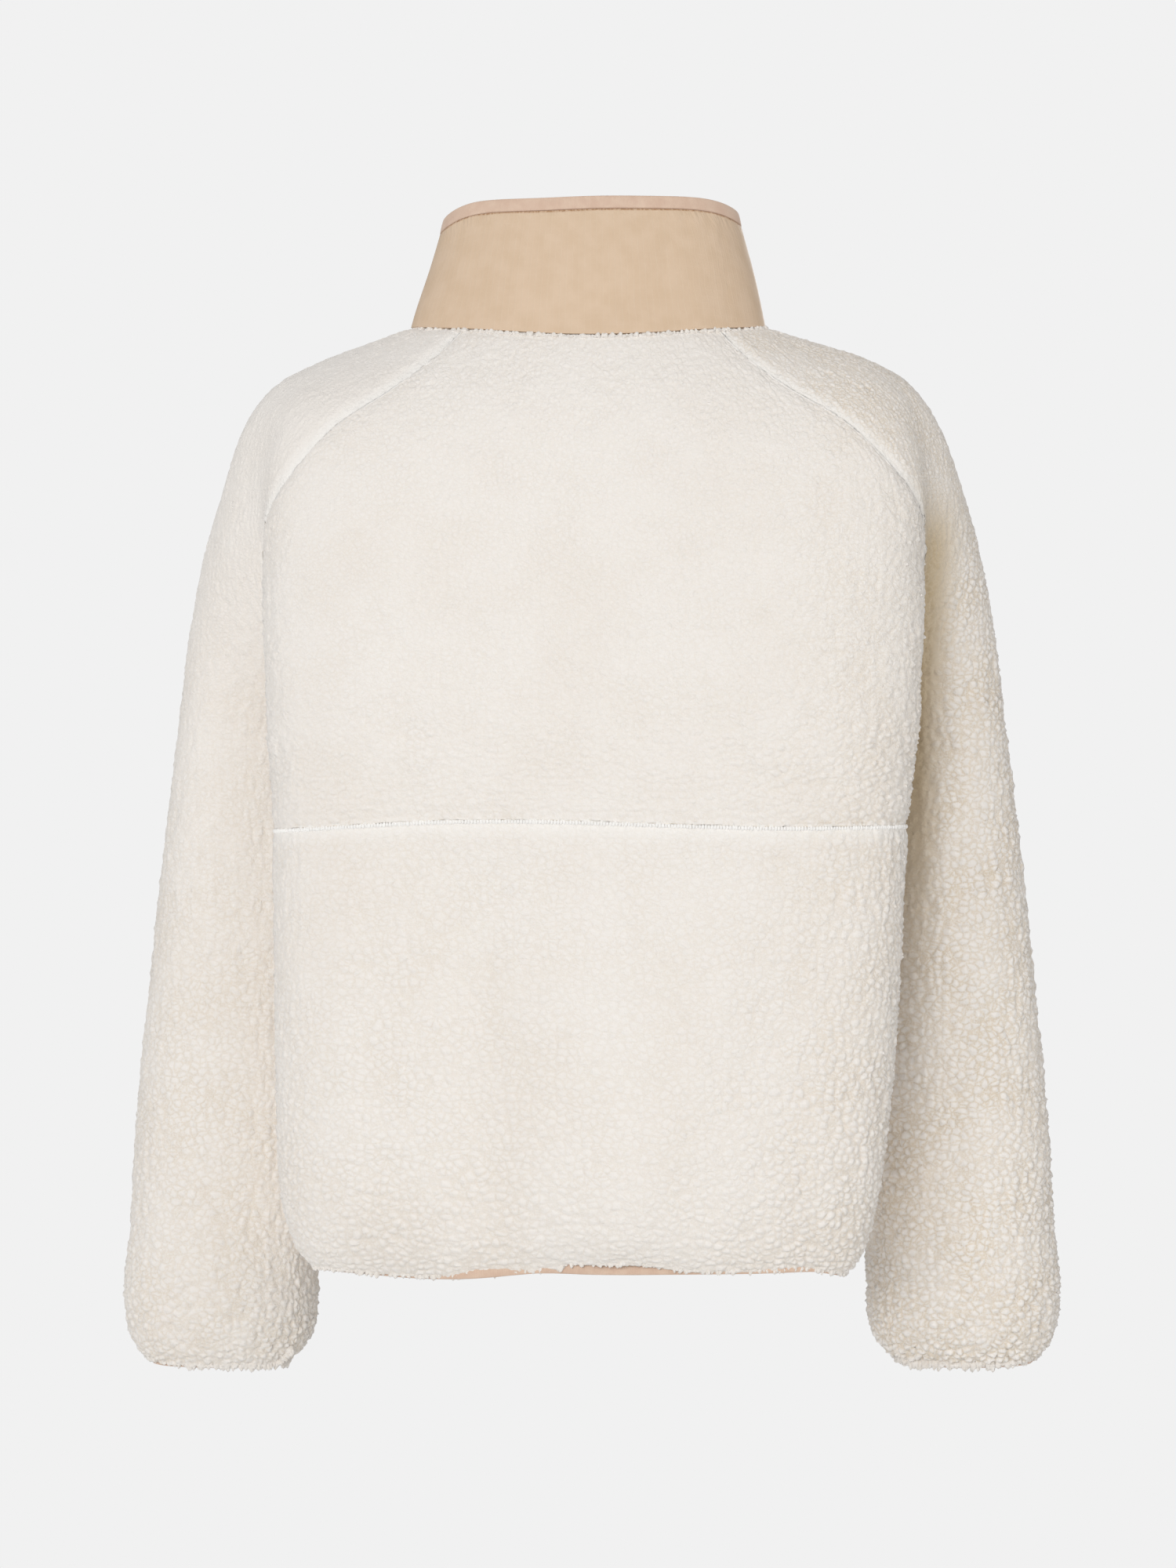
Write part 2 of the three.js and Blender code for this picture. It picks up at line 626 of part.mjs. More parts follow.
const HEM_DIP = 4; // the hem hangs lowest towards the left of the back
const HEM_DIP_X = 108;
const HEM_DIP_WIDTH = 38;
const HEM_DIP_DEPTH = 110; // the dip is full this far behind the side seams
function hemDropAt(p) {
  const dip = HEM_DIP * Math.exp(-(((p.x - HEM_DIP_X) / HEM_DIP_WIDTH) ** 2));
  return HEM_DROP + (dip * Math.max(p.y, 0)) / HEM_DIP_DEPTH;
}
const seamDropAt = (p) => backSeamDrop(p.x);

// Shares that crowd towards both ends, where the side folds and the armholes are.
function bothEnds(count, power) {
  return spread(count).map((share) =>
    share < 0.5 ? 0.5 * (2 * share) ** power : 1 - 0.5 * (2 - 2 * share) ** power,
  );
}

const backShares = bothEnds(BACK_COLUMNS, 1.2);
const sleeveShares = bothEnds(SLEEVE_COLUMNS, 1.25);

// The seams of one half of the jacket.
function seamsOf(side) {
  const underarm = underarmPoint(side);
  const backNeck = neckPoint(side * NECK_BACK_RAGLAN);
  const frontNeck = neckPoint(side * NECK_FRONT_RAGLAN);
  const backRaglan = alongSeam(backNeck, BACK_RAGLAN, underarm, side, RAGLAN_ROWS);
  const frontRaglan = alongSeam(frontNeck, FRONT_RAGLAN, underarm, side, RAGLAN_ROWS);
  const seamDrop = backSeamDrop(side * 204);
  const upper = spread(UPPER_ROWS).map((share) => {
    const drop = -underarm.z + (seamDrop + underarm.z) * share;
    return sidePoint(drop, share === 0 ? underarm.y : sideSeamY(drop), side);
  });
  const lower = crowded(LOWER_ROWS).map((share) => {
    const drop = seamDrop + (HEM_DROP - seamDrop) * share;
    return sidePoint(drop, sideSeamY(drop), side);
  });
  return { backRaglan, frontRaglan, underarm, upper: [underarm, ...upper.slice(1)], lower };
}

const seams = { left: seamsOf(SIDES.left), right: seamsOf(SIDES.right) };
const upperEdge = ({ backRaglan, upper }) => [...backRaglan, ...upper.slice(1)];
const hemCorner = (seam) => seam.lower[LOWER_ROWS];
const backSeamLine = torsoArc(seams.left.lower[0], seams.right.lower[0], backShares, seamDropAt);

function torsoPanel(borders, across, drawn) {
  const places = mapBorders(borders, torsoPlace);
  return fleecePanel(borders, places, across, torsoPoint, drawn);
}

const backUpper = torsoPanel(
  {
    top: neckArc(NECK_BACK_RAGLAN, -NECK_BACK_RAGLAN, BACK_COLUMNS),
    bottom: backSeamLine,
    left: upperEdge(seams.left),
    right: upperEdge(seams.right),
  },
  backShares,
  { top: HALF_GAP, bottom: HALF_GAP, left: HALF_GAP, right: HALF_GAP },
);

const backLower = torsoPanel(
  {
    top: backSeamLine,
    bottom: torsoArc(hemCorner(seams.left), hemCorner(seams.right), backShares, hemDropAt),
    left: seams.left.lower,
    right: seams.right.lower,
  },
  backShares,
  { top: HALF_GAP, bottom: HALF_GAP, left: HALF_GAP, right: HALF_GAP },
);

function frontPanel(side, seam) {
  const edgeRows = [
    ...spread(RAGLAN_ROWS).map((share) => NECK_FRONT_DROP + (-seam.underarm.z - NECK_FRONT_DROP) * share),
    ...seam.upper.slice(1).map((p) => -p.z),
    ...seam.lower.slice(1).map((p) => -p.z),
  ];
  const edge = edgeRows.map((drop) => frontPoint(drop, side * FRONT_EDGE));
  const top = neckArc(side * NECK_FRONT_RAGLAN, side * frontNeckAngle, FRONT_COLUMNS);
  top[FRONT_COLUMNS] = edge[0];
  const across = spread(FRONT_COLUMNS);
  const bottom = torsoArc(hemCorner(seam), edge[edge.length - 1], across, hemDropAt);
  const left = [...seam.frontRaglan, ...seam.upper.slice(1), ...seam.lower.slice(1)];
  const drawn = { top: HALF_GAP, bottom: HALF_GAP, left: HALF_GAP, right: HALF_GAP };
  return torsoPanel({ top, bottom, left, right: edge }, across, drawn);
}

const frontLeft = frontPanel(SIDES.left, seams.left);
const frontRight = frontPanel(SIDES.right, seams.right);

// ---------------------------------------------------------------- sleeves
const CUFF_SEAM_ANGLE = 149 * RADIAN; // the underarm seam ends at the back of the inner side

function armPoint(side) {
  return (at, angle) => {
    const frame = armFrame(at);
    const reach = 1 / armGauge(frame, Math.cos(angle), Math.sin(angle), 0);
    const p = frame.centre.clone();
    p.addScaledVector(frame.outward, reach * Math.cos(angle));
    p.addScaledVector(frame.towardsBack, reach * Math.sin(angle));
    p.x *= side;
    return p;
  };
}

// A place on an arm: where along it, and the direction round it from outward to the back.
function armPlace(side) {
  return (p) => {
    const own = new THREE.Vector3(p.x * side, p.y, p.z);
    const frame = nearestFrame(own);
    const out = own.sub(frame.centre);
    return [frame.at, Math.atan2(out.dot(frame.towardsBack), out.dot(frame.outward))];
  };
}

function armPlaceAtHeight(z) {
  let low = 0;
  let high = ARM_END;
  for (let i = 0; i < 40; i += 1) {
    const middle = (low + high) / 2;
    if (arm.z(middle) > z) low = middle;
    else high = middle;
  }
  return low;
}

function sleevePanel(side, seam) {
  const pointAt = armPoint(side);
  const placeOf = armPlace(side);
  const throughBack = (p) => {
    const [at, angle] = placeOf(p);
    return [at, angle < 0 ? angle + 2 * Math.PI : angle];
  };
  const throughFront = (p) => {
    const [at, angle] = placeOf(p);
    return [at, angle > Math.PI / 3 ? angle - 2 * Math.PI : angle];
  };
  const [startAt, startAngle] = throughBack(seam.underarm);
  const startHeight = arm.z(startAt);
  const seamPlaces = crowded(SLEEVE_ROWS).map((share) => {
    const at = armPlaceAtHeight(startHeight + (arm.z(ARM_END) - startHeight) * share);
    const angle = startAngle + (CUFF_SEAM_ANGLE - startAngle) * smoothstep(0, 1, share);
    return [share === 0 ? startAt : at, angle];
  });
  const below = seamPlaces.slice(1);
  const belowRound = below.map(([at, angle]) => [at, angle - 2 * Math.PI]);
  const belowPoints = below.map((place) => pointAt(...place));
  const cuffPlaces = sleeveShares.map((share) => [ARM_END, CUFF_SEAM_ANGLE - 2 * Math.PI * share]);
  const top = neckArc(side * NECK_BACK_RAGLAN, side * NECK_FRONT_RAGLAN, SLEEVE_COLUMNS);
  const borders = {
    top,
    bottom: cuffPlaces.map((place) => pointAt(...place)),
    left: [...seam.backRaglan, ...belowPoints],
    right: [...seam.frontRaglan, ...belowPoints],
  };
  borders.bottom[0] = belowPoints[SLEEVE_ROWS - 1];
  borders.bottom[SLEEVE_COLUMNS] = belowPoints[SLEEVE_ROWS - 1];
  const places = {
    top: top.map(placeOf),
    bottom: cuffPlaces,
    left: [...seam.backRaglan.map(throughBack), ...below],
    right: [...seam.frontRaglan.map(throughFront), ...belowRound],
  };
  const drawn = { top: HALF_GAP, bottom: HALF_GAP, left: HALF_GAP, right: HALF_GAP };
  return fleecePanel(borders, places, sleeveShares, pointAt, drawn);
}

const sleeveLeft = sleevePanel(SIDES.left, seams.left);
const sleeveRight = sleevePanel(SIDES.right, seams.right);

// ---------------------------------------------------------------- collar and bindings
const COLLAR_TOP_HALF_WIDTH = 96.3;
const COLLAR_TOP_BACK = 58;
const COLLAR_TOP_FRONT = -70;
const COLLAR_TOP_SIDE_Z = 66;
const COLLAR_TOP_FRONT_Z = 36;
const COLLAR_TOP_TILT = 2.6; // the left side of the collar droops a little
const COLLAR_BOW = 1.6;
const COLLAR_ROWS = 2;

// Borders run together from the left front edge, round the jacket, to the right one.
const around = (lists) => lists.flatMap((list, i) => (i === 0 ? list : list.slice(1)));
const lastRow = (rows) => rows[rows.length - 1];

function neckBorder(key) {
  return around([
    [...frontLeft[key][0]].reverse(),
    [...sleeveLeft[key][0]].reverse(),
    backUpper[key][0],
    sleeveRight[key][0],
    frontRight[key][0],
  ]);
}

function hemBorder(key) {
  const left = [...lastRow(frontLeft[key])].reverse();
  return around([left, lastRow(backLower[key]), lastRow(frontRight[key])]);
}

// Directions along a line of points.
function tangents(line) {
  return line.map((_, i) => {
    const ahead = line[Math.min(i + 1, line.length - 1)];
    return ahead.clone().sub(line[Math.max(i - 1, 0)]).normalize();
  });
}

const neckLine = neckBorder("grid");
const neckTangents = tangents(neckLine);
// Square to the seam and along the fleece, away from the panel that ends there.
const neckAway = neckBorder("normals").map((normal, i) =>
  new THREE.Vector3().crossVectors(neckTangents[i], normal).normalize(),
);
neckAway.forEach((away) => away.z < 0 && away.negate());

// The collar's top edge, at the angle round the neck of a point of its seam.
function collarTop(p, i) {
  const turn = Math.atan2(p.x, p.y - NECK_AXIS_Y);
  const middleY = (COLLAR_TOP_BACK + COLLAR_TOP_FRONT) / 2;
  const depth = (COLLAR_TOP_BACK - COLLAR_TOP_FRONT) / 2;
  const sideways = Math.sin(turn);
  const backZ = COLLAR_HEIGHT_BACK;
  const end = Math.abs(turn) < Math.PI / 2 ? backZ : COLLAR_TOP_FRONT_Z;
  const z = end + (COLLAR_TOP_SIDE_Z - end) * sideways ** 2 - COLLAR_TOP_TILT * sideways;
  const isEdge = i === 0 || i === neckLine.length - 1;
  const x = isEdge ? p.x : COLLAR_TOP_HALF_WIDTH * sideways;
  return new THREE.Vector3(x, middleY + depth * Math.cos(turn), z);
}

const collarTops = neckLine.map(collarTop);
const collarBases = neckLine.map((p, i) => p.clone().addScaledVector(neckAway[i], HALF_GAP));
const collarTopTangents = tangents(collarTops);
const collarUps = collarTops.map((top, i) => top.clone().sub(collarBases[i]).normalize());
const collarNormals = collarUps.map((up, i) => {
  const normal = new THREE.Vector3().crossVectors(up, collarTopTangents[i]).normalize();
  const outwards = new THREE.Vector3(collarTops[i].x, collarTops[i].y, 0);
  return normal.dot(outwards) < 0 ? normal.negate() : normal;
});

const collarGrid = spread(COLLAR_ROWS).map((share) =>
  collarTops.map((top, i) => {
    const p = collarBases[i].clone().lerp(top, share);
    return p.addScaledVector(collarNormals[i], COLLAR_BOW * Math.sin(Math.PI * share));
  }),
);
const collarNormalGrid = collarGrid.map(() => collarNormals);
const collar = wall(collarGrid, collarNormalGrid, WOVEN, { top: 0, bottom: HALF_GAP });

// A folded elastic band that runs on from a border: it starts beside the border's edge,
// a little inside the outer face, and is as high as it shows.
function band(line, away, down, normals, height, standOut) {
  const first = line.map((p, i) =>
    p.clone().addScaledVector(away[i], HALF_GAP).addScaledVector(normals[i], standOut),
  );
  const second = first.map((p, i) => p.clone().addScaledVector(down[i], height - HALF_GAP));
  return wall([first, second], [normals, normals], ELASTIC, {});
}

const BINDING_STAND_OUT = 0.4; // the collar's binding stands out over the thin nylon
const collarBinding = band(
  collarTops, collarUps, collarUps, collarNormals, COLLAR_BINDING_HEIGHT, BINDING_STAND_OUT);

const HEM_RECESS = -1; // the hem's binding sits inside the pile
const HEM_LIFT = 0.5; // and reaches up behind the turned-in edge of the fleece
function hangingBand(line, panelNormals, height) {
  const along = tangents(line);
  const away = panelNormals.map((normal, i) => {
    const square = new THREE.Vector3().crossVectors(along[i], normal).normalize();
    return square.z > 0 ? square.negate() : square;
  });
  const level = panelNormals.map((normal) => normal.clone().setZ(0).normalize());
  const down = level.map(() => new THREE.Vector3(0, 0, -1));
  const raised = line.map((p) => p.clone().setZ(p.z + HEM_LIFT));
  return band(raised, away, down, level, height, HEM_RECESS);
}

const hemBinding = hangingBand(hemBorder("grid"), hemBorder("normals"), HEM_BINDING_HEIGHT);
const cuffBindingOf = (sleeve) =>
  hangingBand(lastRow(sleeve.grid), lastRow(sleeve.normals), CUFF_BINDING_HEIGHT);

// ---------------------------------------------------------------- zip
const TAPE_HALF_GAP = 0.15; // the tapes' inner edges, closed
const TAPE_OPEN = 1.3; // and above the slider, where its post parts them
const TAPE_STEP = 38;
const TAPE_TOP_RECESS = 0.3;
const ZIP_END_DROP = 581;

// The slider in its own axes: x across, y along the zip, z outwards from the tape.
const SLIDER_WIDTH = 8.4;
const SLIDER_LENGTH = 10;
const SLIDER_PLATE = 2.1;
const SLIDER_GAP = 0.3;
const POST_WIDTH = 2;
const POST_START = 1.4;
const BRIDGE_WIDTH = 2.4;
const BRIDGE_LENGTH = 8;
const BRIDGE_TOP = 6.4;
const BRIDGE_BAR = 1.3;
const WINDOW_CORNER = 0.5;
const SUNK = 0.2; // joined pieces of the slider reach this far into each other
const CORNER = 1.6;

// The pull tab hangs from a bar that runs under the slider's bridge.
const PULL_WIDTH = 6.4;
const PULL_LENGTH = 28;
const PULL_THICKNESS = 1.2;
const PULL_AXIS_Y = -1.75;
const PULL_AXIS_Z = 3.75;
const PULL_EYE_LENGTH = 6.4;
const PULL_EYE_WIDTH = 3.2;
const BOX_WIDTH = 7.4;
const BOX_LENGTH = 8.2;
const BOX_DEPTH = 3.4;

// The zip's outer face up the front: places and outward normals in the middle plane.
function zipLine() {
  const bodyStart = NECK_FRONT_DROP + 5;
  const steps = Math.round((ZIP_END_DROP - bodyStart) / TAPE_STEP);
  const line = spread(steps).map((share) => {
    const drop = ZIP_END_DROP + (bodyStart - ZIP_END_DROP) * share;
    const p = frontPoint(drop, TAPE_EDGE / 2);
    const above = frontPoint(drop - 1, TAPE_EDGE / 2);
    const up = new THREE.Vector3(0, above.y - p.y, 1).normalize();
    const normal = new THREE.Vector3(0, -up.z, up.y);
    return { p: p.setX(0).addScaledVector(normal, -TAPE_RECESS), normal };
  });
  const foot = collarGrid.map((row) => row[0].clone().setX(0));
  const bindingTop = foot[COLLAR_ROWS].clone();
  bindingTop.addScaledVector(collarUps[0], COLLAR_BINDING_HEIGHT).setX(0);
  const postPlace = bindingTop.clone().addScaledVector(collarUps[0], -SLIDER_BELOW_TOP).setX(0);
  const normal = collarNormals[0].clone().setX(0).normalize();
  const underSlider = postPlace.clone().addScaledVector(collarUps[0], -SLIDER_LENGTH).setX(0);
  const collarPart = [foot[0].clone().lerp(foot[1], 0.3), foot[1], underSlider, postPlace, bindingTop];
  for (const p of collarPart) line.push({ p: p.addScaledVector(normal, -TAPE_TOP_RECESS), normal });
  return line;
}

const zip = zipLine();
const SLIDER_ROW = zip.length - 2;

function zipTape(side) {
  const parting = zip[SLIDER_ROW].p.z;
  const rows = [];
  for (const place of zip) {
    rows.push({ ...place, inner: place.p.z > parting ? TAPE_OPEN : TAPE_HALF_GAP });
    if (place.p.z === parting) {
      const justAbove = zip[SLIDER_ROW + 1].p.clone().sub(place.p).setLength(0.8);
      rows.push({ p: place.p.clone().add(justAbove), normal: place.normal, inner: TAPE_OPEN });
    }
  }
  const grid = rows.map(({ p, inner }) => [inner, TAPE_EDGE].map((x) => p.clone().setX(side * x)));
  return wall(grid, rows.map(({ normal }) => [normal, normal]), TAPE_THICKNESS, {});
}

function roundedShape(width, height, radius) {
  const x = width / 2;
  const y = height / 2;
  const shape = new THREE.Shape();
  shape.moveTo(-x + radius, -y);
  shape.lineTo(x - radius, -y);
  shape.absarc(x - radius, -y + radius, radius, -Math.PI / 2, 0);
  shape.lineTo(x, y - radius);
  shape.absarc(x - radius, y - radius, radius, 0, Math.PI / 2);
  shape.lineTo(-x + radius, y);
  shape.absarc(-x + radius, y - radius, radius, Math.PI / 2, Math.PI);
  shape.lineTo(-x, -y + radius);
  shape.absarc(-x + radius, -y + radius, radius, Math.PI, 1.5 * Math.PI);
  return shape;
}

function slab(shape, depth, from) {
  const geometry = new THREE.ExtrudeGeometry(shape, { depth, bevelEnabled: false, curveSegments: 4 });
  return geometry.translate(0, 0, from);
}

function solid(geometry) {
  const bare = geometry.clone();
  bare.deleteAttribute("normal");
  bare.deleteAttribute("uv");
  const merged = mergeVertices(bare, 1e-4);
  return new wasm.Manifold(
    new wasm.Mesh({
      numProp: 3,
      vertProperties: merged.attributes.position.array,
      triVerts: new Uint32Array(merged.index.array),
    }),
  );
}

function geometryOf(manifold) {
  const mesh = manifold.getMesh();
  const geometry = new THREE.BufferGeometry();
  geometry.setAttribute("position", new THREE.BufferAttribute(new Float32Array(mesh.vertProperties), 3));
  geometry.setIndex(Array.from(mesh.triVerts));
  geometry.computeVertexNormals();
  return geometry;
}

// A shape drawn lengthways and outwards, made as wide as given across the zip.
function sideSlab(shape, width) {
  const across = new THREE.Vector3(1, 0, 0);
  const lengthways = new THREE.Vector3(0, 1, 0);
  const outwards = new THREE.Vector3(0, 0, 1);
  return slab(shape, width, -width / 2).applyMatrix4(
    new THREE.Matrix4().makeBasis(lengthways, outwards, across));
}

function hole(width, height, radius, x, y) {
  const points = roundedShape(width, height, radius).getPoints(4);
  return new THREE.Path(points.slice(0, -1).map((p) => new THREE.Vector2(p.x + x, p.y + y)));
}

function sliderGeometry() {
  const plate = roundedShape(SLIDER_WIDTH, SLIDER_LENGTH, CORNER);
  const plateTop = SLIDER_GAP + SLIDER_PLATE;
  const rearDepth = SLIDER_PLATE / 2;
  const rearTop = -TAPE_THICKNESS - SLIDER_GAP;
  const front = slab(plate, SLIDER_PLATE, SLIDER_GAP);
  const rear = slab(plate, rearDepth, rearTop - rearDepth);
  const postLength = SLIDER_LENGTH / 2 - POST_START;
  const postShape = roundedShape(POST_WIDTH, postLength, POST_WIDTH / 3);
  const post = slab(postShape, SLIDER_GAP - rearTop + 2 * SUNK, rearTop - SUNK);
  post.translate(0, POST_START + postLength / 2, 0);
  const archFoot = plateTop - SUNK;
  const archHeight = BRIDGE_TOP - archFoot + CORNER;
  const arch = roundedShape(BRIDGE_LENGTH, archHeight, CORNER / 2);
  const windowHeight = BRIDGE_TOP - BRIDGE_BAR - archFoot;
  const windowMiddle = archHeight / 2 - BRIDGE_BAR - windowHeight / 2;
  arch.holes.push(hole(BRIDGE_LENGTH - 2 * BRIDGE_BAR, windowHeight, WINDOW_CORNER, 0, windowMiddle));
  const bridge = sideSlab(arch, BRIDGE_WIDTH).translate(0, 0, BRIDGE_TOP - archHeight / 2);
  return geometryOf([front, rear, post, bridge].map(solid).reduce((all, piece) => all.add(piece)));
}

// The pull in the slider's axes, moved so that its hinge is at the origin.
function pullGeometry() {
  const bar = PULL_THICKNESS / 2;
  const shape = new THREE.Shape();
  const half = PULL_WIDTH / 2;
  const foot = bar - PULL_LENGTH;
  shape.moveTo(-half, bar);
  shape.lineTo(-half, foot + half);
  shape.absarc(0, foot + half, half, Math.PI, 2 * Math.PI);
  shape.lineTo(half, bar);
  shape.closePath();
  shape.holes.push(hole(PULL_EYE_WIDTH, PULL_EYE_LENGTH, 0.8, 0, -bar - PULL_EYE_LENGTH / 2));
  return slab(shape, PULL_THICKNESS, -bar);
}

const boxGeometry = () =>
  slab(roundedShape(BOX_WIDTH, BOX_LENGTH, 1), BOX_DEPTH, -(BOX_DEPTH + TAPE_THICKNESS) / 2).translate(
    0, -SEAM_GAP - BOX_LENGTH / 2, 0);

// ---------------------------------------------------------------- the jacket
const finish = (color, roughness, metalness) => ({ color, roughness, metalness });
const SHERPA = finish(0xebe5dc, 0.95, 0);
const RIPSTOP = finish(0xd6bda4, 0.6, 0);
const BINDING_TAPE = finish(0xd7bca9, 0.7, 0);
const ZIP_CLOTH = finish(0xcfb79f, 0.8, 0);
const ZIP_METAL = finish(0xb8aa98, 0.35, 1);

function piece(name, geometry, look) {
  const mesh = new THREE.Mesh(geometry, new THREE.MeshStandardMaterial(look));
  mesh.name = name;
  return mesh;
}

const jacket = new THREE.Group();
jacket.add(
  piece("back_upper", backUpper.geometry, SHERPA),
  piece("back_lower", backLower.geometry, SHERPA),
  piece("front_left", frontLeft.geometry, SHERPA),
  piece("front_right", frontRight.geometry, SHERPA),
  piece("sleeve_left", sleeveLeft.geometry, SHERPA),
  piece("sleeve_right", sleeveRight.geometry, SHERPA),
  piece("collar", collar, RIPSTOP),
  piece("collar_binding", collarBinding, BINDING_TAPE),
  piece("hem_binding", hemBinding, BINDING_TAPE),
  piece("cuff_binding_left", cuffBindingOf(sleeveLeft), BINDING_TAPE),
  piece("cuff_binding_right", cuffBindingOf(sleeveRight), BINDING_TAPE),
  piece("zip_tape_left", zipTape(SIDES.left), ZIP_CLOTH),
  piece("zip_tape_right", zipTape(SIDES.right), ZIP_CLOTH),
);

// Stands a piece of the zip on its line: x across, y up the zip, z out of the front.
function onZip(mesh, place, next) {
  const up = next.p.clone().sub(place.p).normalize();
  const across = new THREE.Vector3(1, 0, 0);
  const outwards = new THREE.Vector3().crossVectors(across, up);
  const seat = new THREE.Group();
  seat.position.copy(place.p);
  seat.quaternion.setFromRotationMatrix(new THREE.Matrix4().makeBasis(across, up, outwards));
  seat.add(mesh);
  return seat;
}

const pull = piece("zip_pull", pullGeometry(), ZIP_METAL);
pull.position.set(0, PULL_AXIS_Y, PULL_AXIS_Z);
jacket.add(
  onZip(piece("zip_slider", sliderGeometry(), ZIP_METAL), zip[SLIDER_ROW], zip[SLIDER_ROW + 1]),
  onZip(pull, zip[SLIDER_ROW], zip[SLIDER_ROW + 1]),
  onZip(piece("zip_box", boxGeometry(), ZIP_METAL), zip[0], zip[1]),
);

export default jacket;
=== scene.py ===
# %% [markdown]
# # A women's sherpa-fleece jacket, seen from behind
# This lesson dresses the plain CAD solids of a raglan jacket: curly off-white pile on the
# back, fronts and sleeves, a stand collar of tan ripstop nylon, elastic binding on every
# open edge, and a slim front zip. The CAD model is the frame: each piece copies the solid
# it stands for, so it starts in the right place and at the right size.

import math
import random

import bmesh
import bpy
import mathutils.noise
import numpy as np
from mathutils import Matrix, Vector
from mathutils.bvhtree import BVHTree


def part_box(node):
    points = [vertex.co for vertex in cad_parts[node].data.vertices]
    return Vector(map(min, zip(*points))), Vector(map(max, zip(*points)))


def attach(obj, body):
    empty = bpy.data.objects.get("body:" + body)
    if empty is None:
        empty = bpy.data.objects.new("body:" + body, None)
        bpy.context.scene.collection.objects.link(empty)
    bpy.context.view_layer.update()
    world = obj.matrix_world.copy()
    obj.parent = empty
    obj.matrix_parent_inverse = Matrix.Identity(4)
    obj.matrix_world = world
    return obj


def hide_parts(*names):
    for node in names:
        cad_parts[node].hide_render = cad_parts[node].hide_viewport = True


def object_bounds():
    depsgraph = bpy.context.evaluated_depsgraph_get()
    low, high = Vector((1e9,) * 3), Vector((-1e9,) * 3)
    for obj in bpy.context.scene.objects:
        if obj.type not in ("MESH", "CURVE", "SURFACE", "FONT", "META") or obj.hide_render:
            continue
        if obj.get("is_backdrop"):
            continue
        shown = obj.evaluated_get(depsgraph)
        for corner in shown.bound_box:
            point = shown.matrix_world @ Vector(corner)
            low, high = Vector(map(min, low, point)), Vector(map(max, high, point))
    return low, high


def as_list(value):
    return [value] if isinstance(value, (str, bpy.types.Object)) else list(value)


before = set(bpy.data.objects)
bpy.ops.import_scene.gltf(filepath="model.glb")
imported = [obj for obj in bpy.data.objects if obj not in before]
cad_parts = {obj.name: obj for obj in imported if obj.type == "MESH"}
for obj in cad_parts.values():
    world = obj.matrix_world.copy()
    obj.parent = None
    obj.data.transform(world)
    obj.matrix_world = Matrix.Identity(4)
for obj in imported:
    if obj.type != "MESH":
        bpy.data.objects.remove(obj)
cad_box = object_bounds()
print("CAD box", [[round(value, 3) for value in corner] for corner in cad_box])

# %% [markdown]
# ## Camera
# The jacket is looked at straight from behind, from a little over three metres, level with
# the middle of its back. A long lens keeps the sleeves and the body in proportion.

# %% Camera
MM = 0.001
CAMERA_DISTANCE = 3300 * MM
VIEW_HEIGHT = 1000 * MM  # how much of the jacket's plane the picture is high
VIEW_MIDDLE = (1.75 * MM, -286 * MM)


def deselect_all():
    if bpy.context.object and bpy.context.object.mode != "OBJECT":
        bpy.ops.object.mode_set(mode="OBJECT")
    bpy.ops.object.select_all(action="DESELECT")


deselect_all()
bpy.ops.object.camera_add(
    location=(VIEW_MIDDLE[0], CAMERA_DISTANCE, VIEW_MIDDLE[1]),
    rotation=(math.radians(90), 0, math.radians(180)),
)
camera = bpy.context.object
camera.name = "camera"
camera.data.lens = camera.data.sensor_width * CAMERA_DISTANCE / VIEW_HEIGHT
camera.data.clip_start = 0.05
camera.data.clip_end = 40
bpy.context.scene.camera = camera
print("lens", round(camera.data.lens, 1), "mm")

# %% [markdown]
# ## Colours and nodes
# Colours are read off a screen as sRGB hex values, and shaders want linear light, so one
# function turns them. Materials and geometry nodes are both built with one small helper
# that adds a node, sets it up and links its inputs.


# %% Helpers for colours and nodes
def linear(hex_colour):
    """The linear RGBA of an sRGB colour such as "#ebe5dc"."""
    channels = [int(hex_colour[i : i + 2], 16) / 255 for i in (1, 3, 5)]
    straight = [c / 12.92 if c <= 0.04045 else ((c + 0.055) / 1.055) ** 2.4 for c in channels]
    return (*straight, 1.0)


def add_node(tree, kind, inputs=None, **settings):
    """Adds a node. Inputs are values, or sockets to link, by the input's name or number."""
    node = tree.nodes.new(kind)
    for key, value in settings.items():
        setattr(node, key, value)
    for key, value in (inputs or {}).items():
        socket = node.inputs[key]
        if isinstance(value, bpy.types.NodeSocket):
            tree.links.new(value, socket)
        else:
            socket.default_value = value
    return node


def new_material(name):
    material = bpy.data.materials.new(name)
    material.use_nodes = True
    material.node_tree.nodes.clear()
    return material, material.node_tree


print("white is", linear("#ffffff"))

# %% [markdown]
# ## The fleece pieces
# Sherpa fleece is a knitted ground with a brushed, curled pile: rounded bobbles of 3 to
# 6 mm with thin cracks between them. Hair particles would be far too heavy, and a bump map
# alone would leave the outline smooth. So each CAD wall is smoothed with a Subdivision
# Surface, its outer face is divided to about 1.5 mm, and geometry nodes push the bobbles
# out of it. The rim edges are creased first, so that neighbours still meet at the seams.

# %% Copy a CAD solid and mark its edges
SHARP = math.radians(45)


def use(piece):
    deselect_all()
    piece.select_set(True)
    bpy.context.view_layer.objects.active = piece


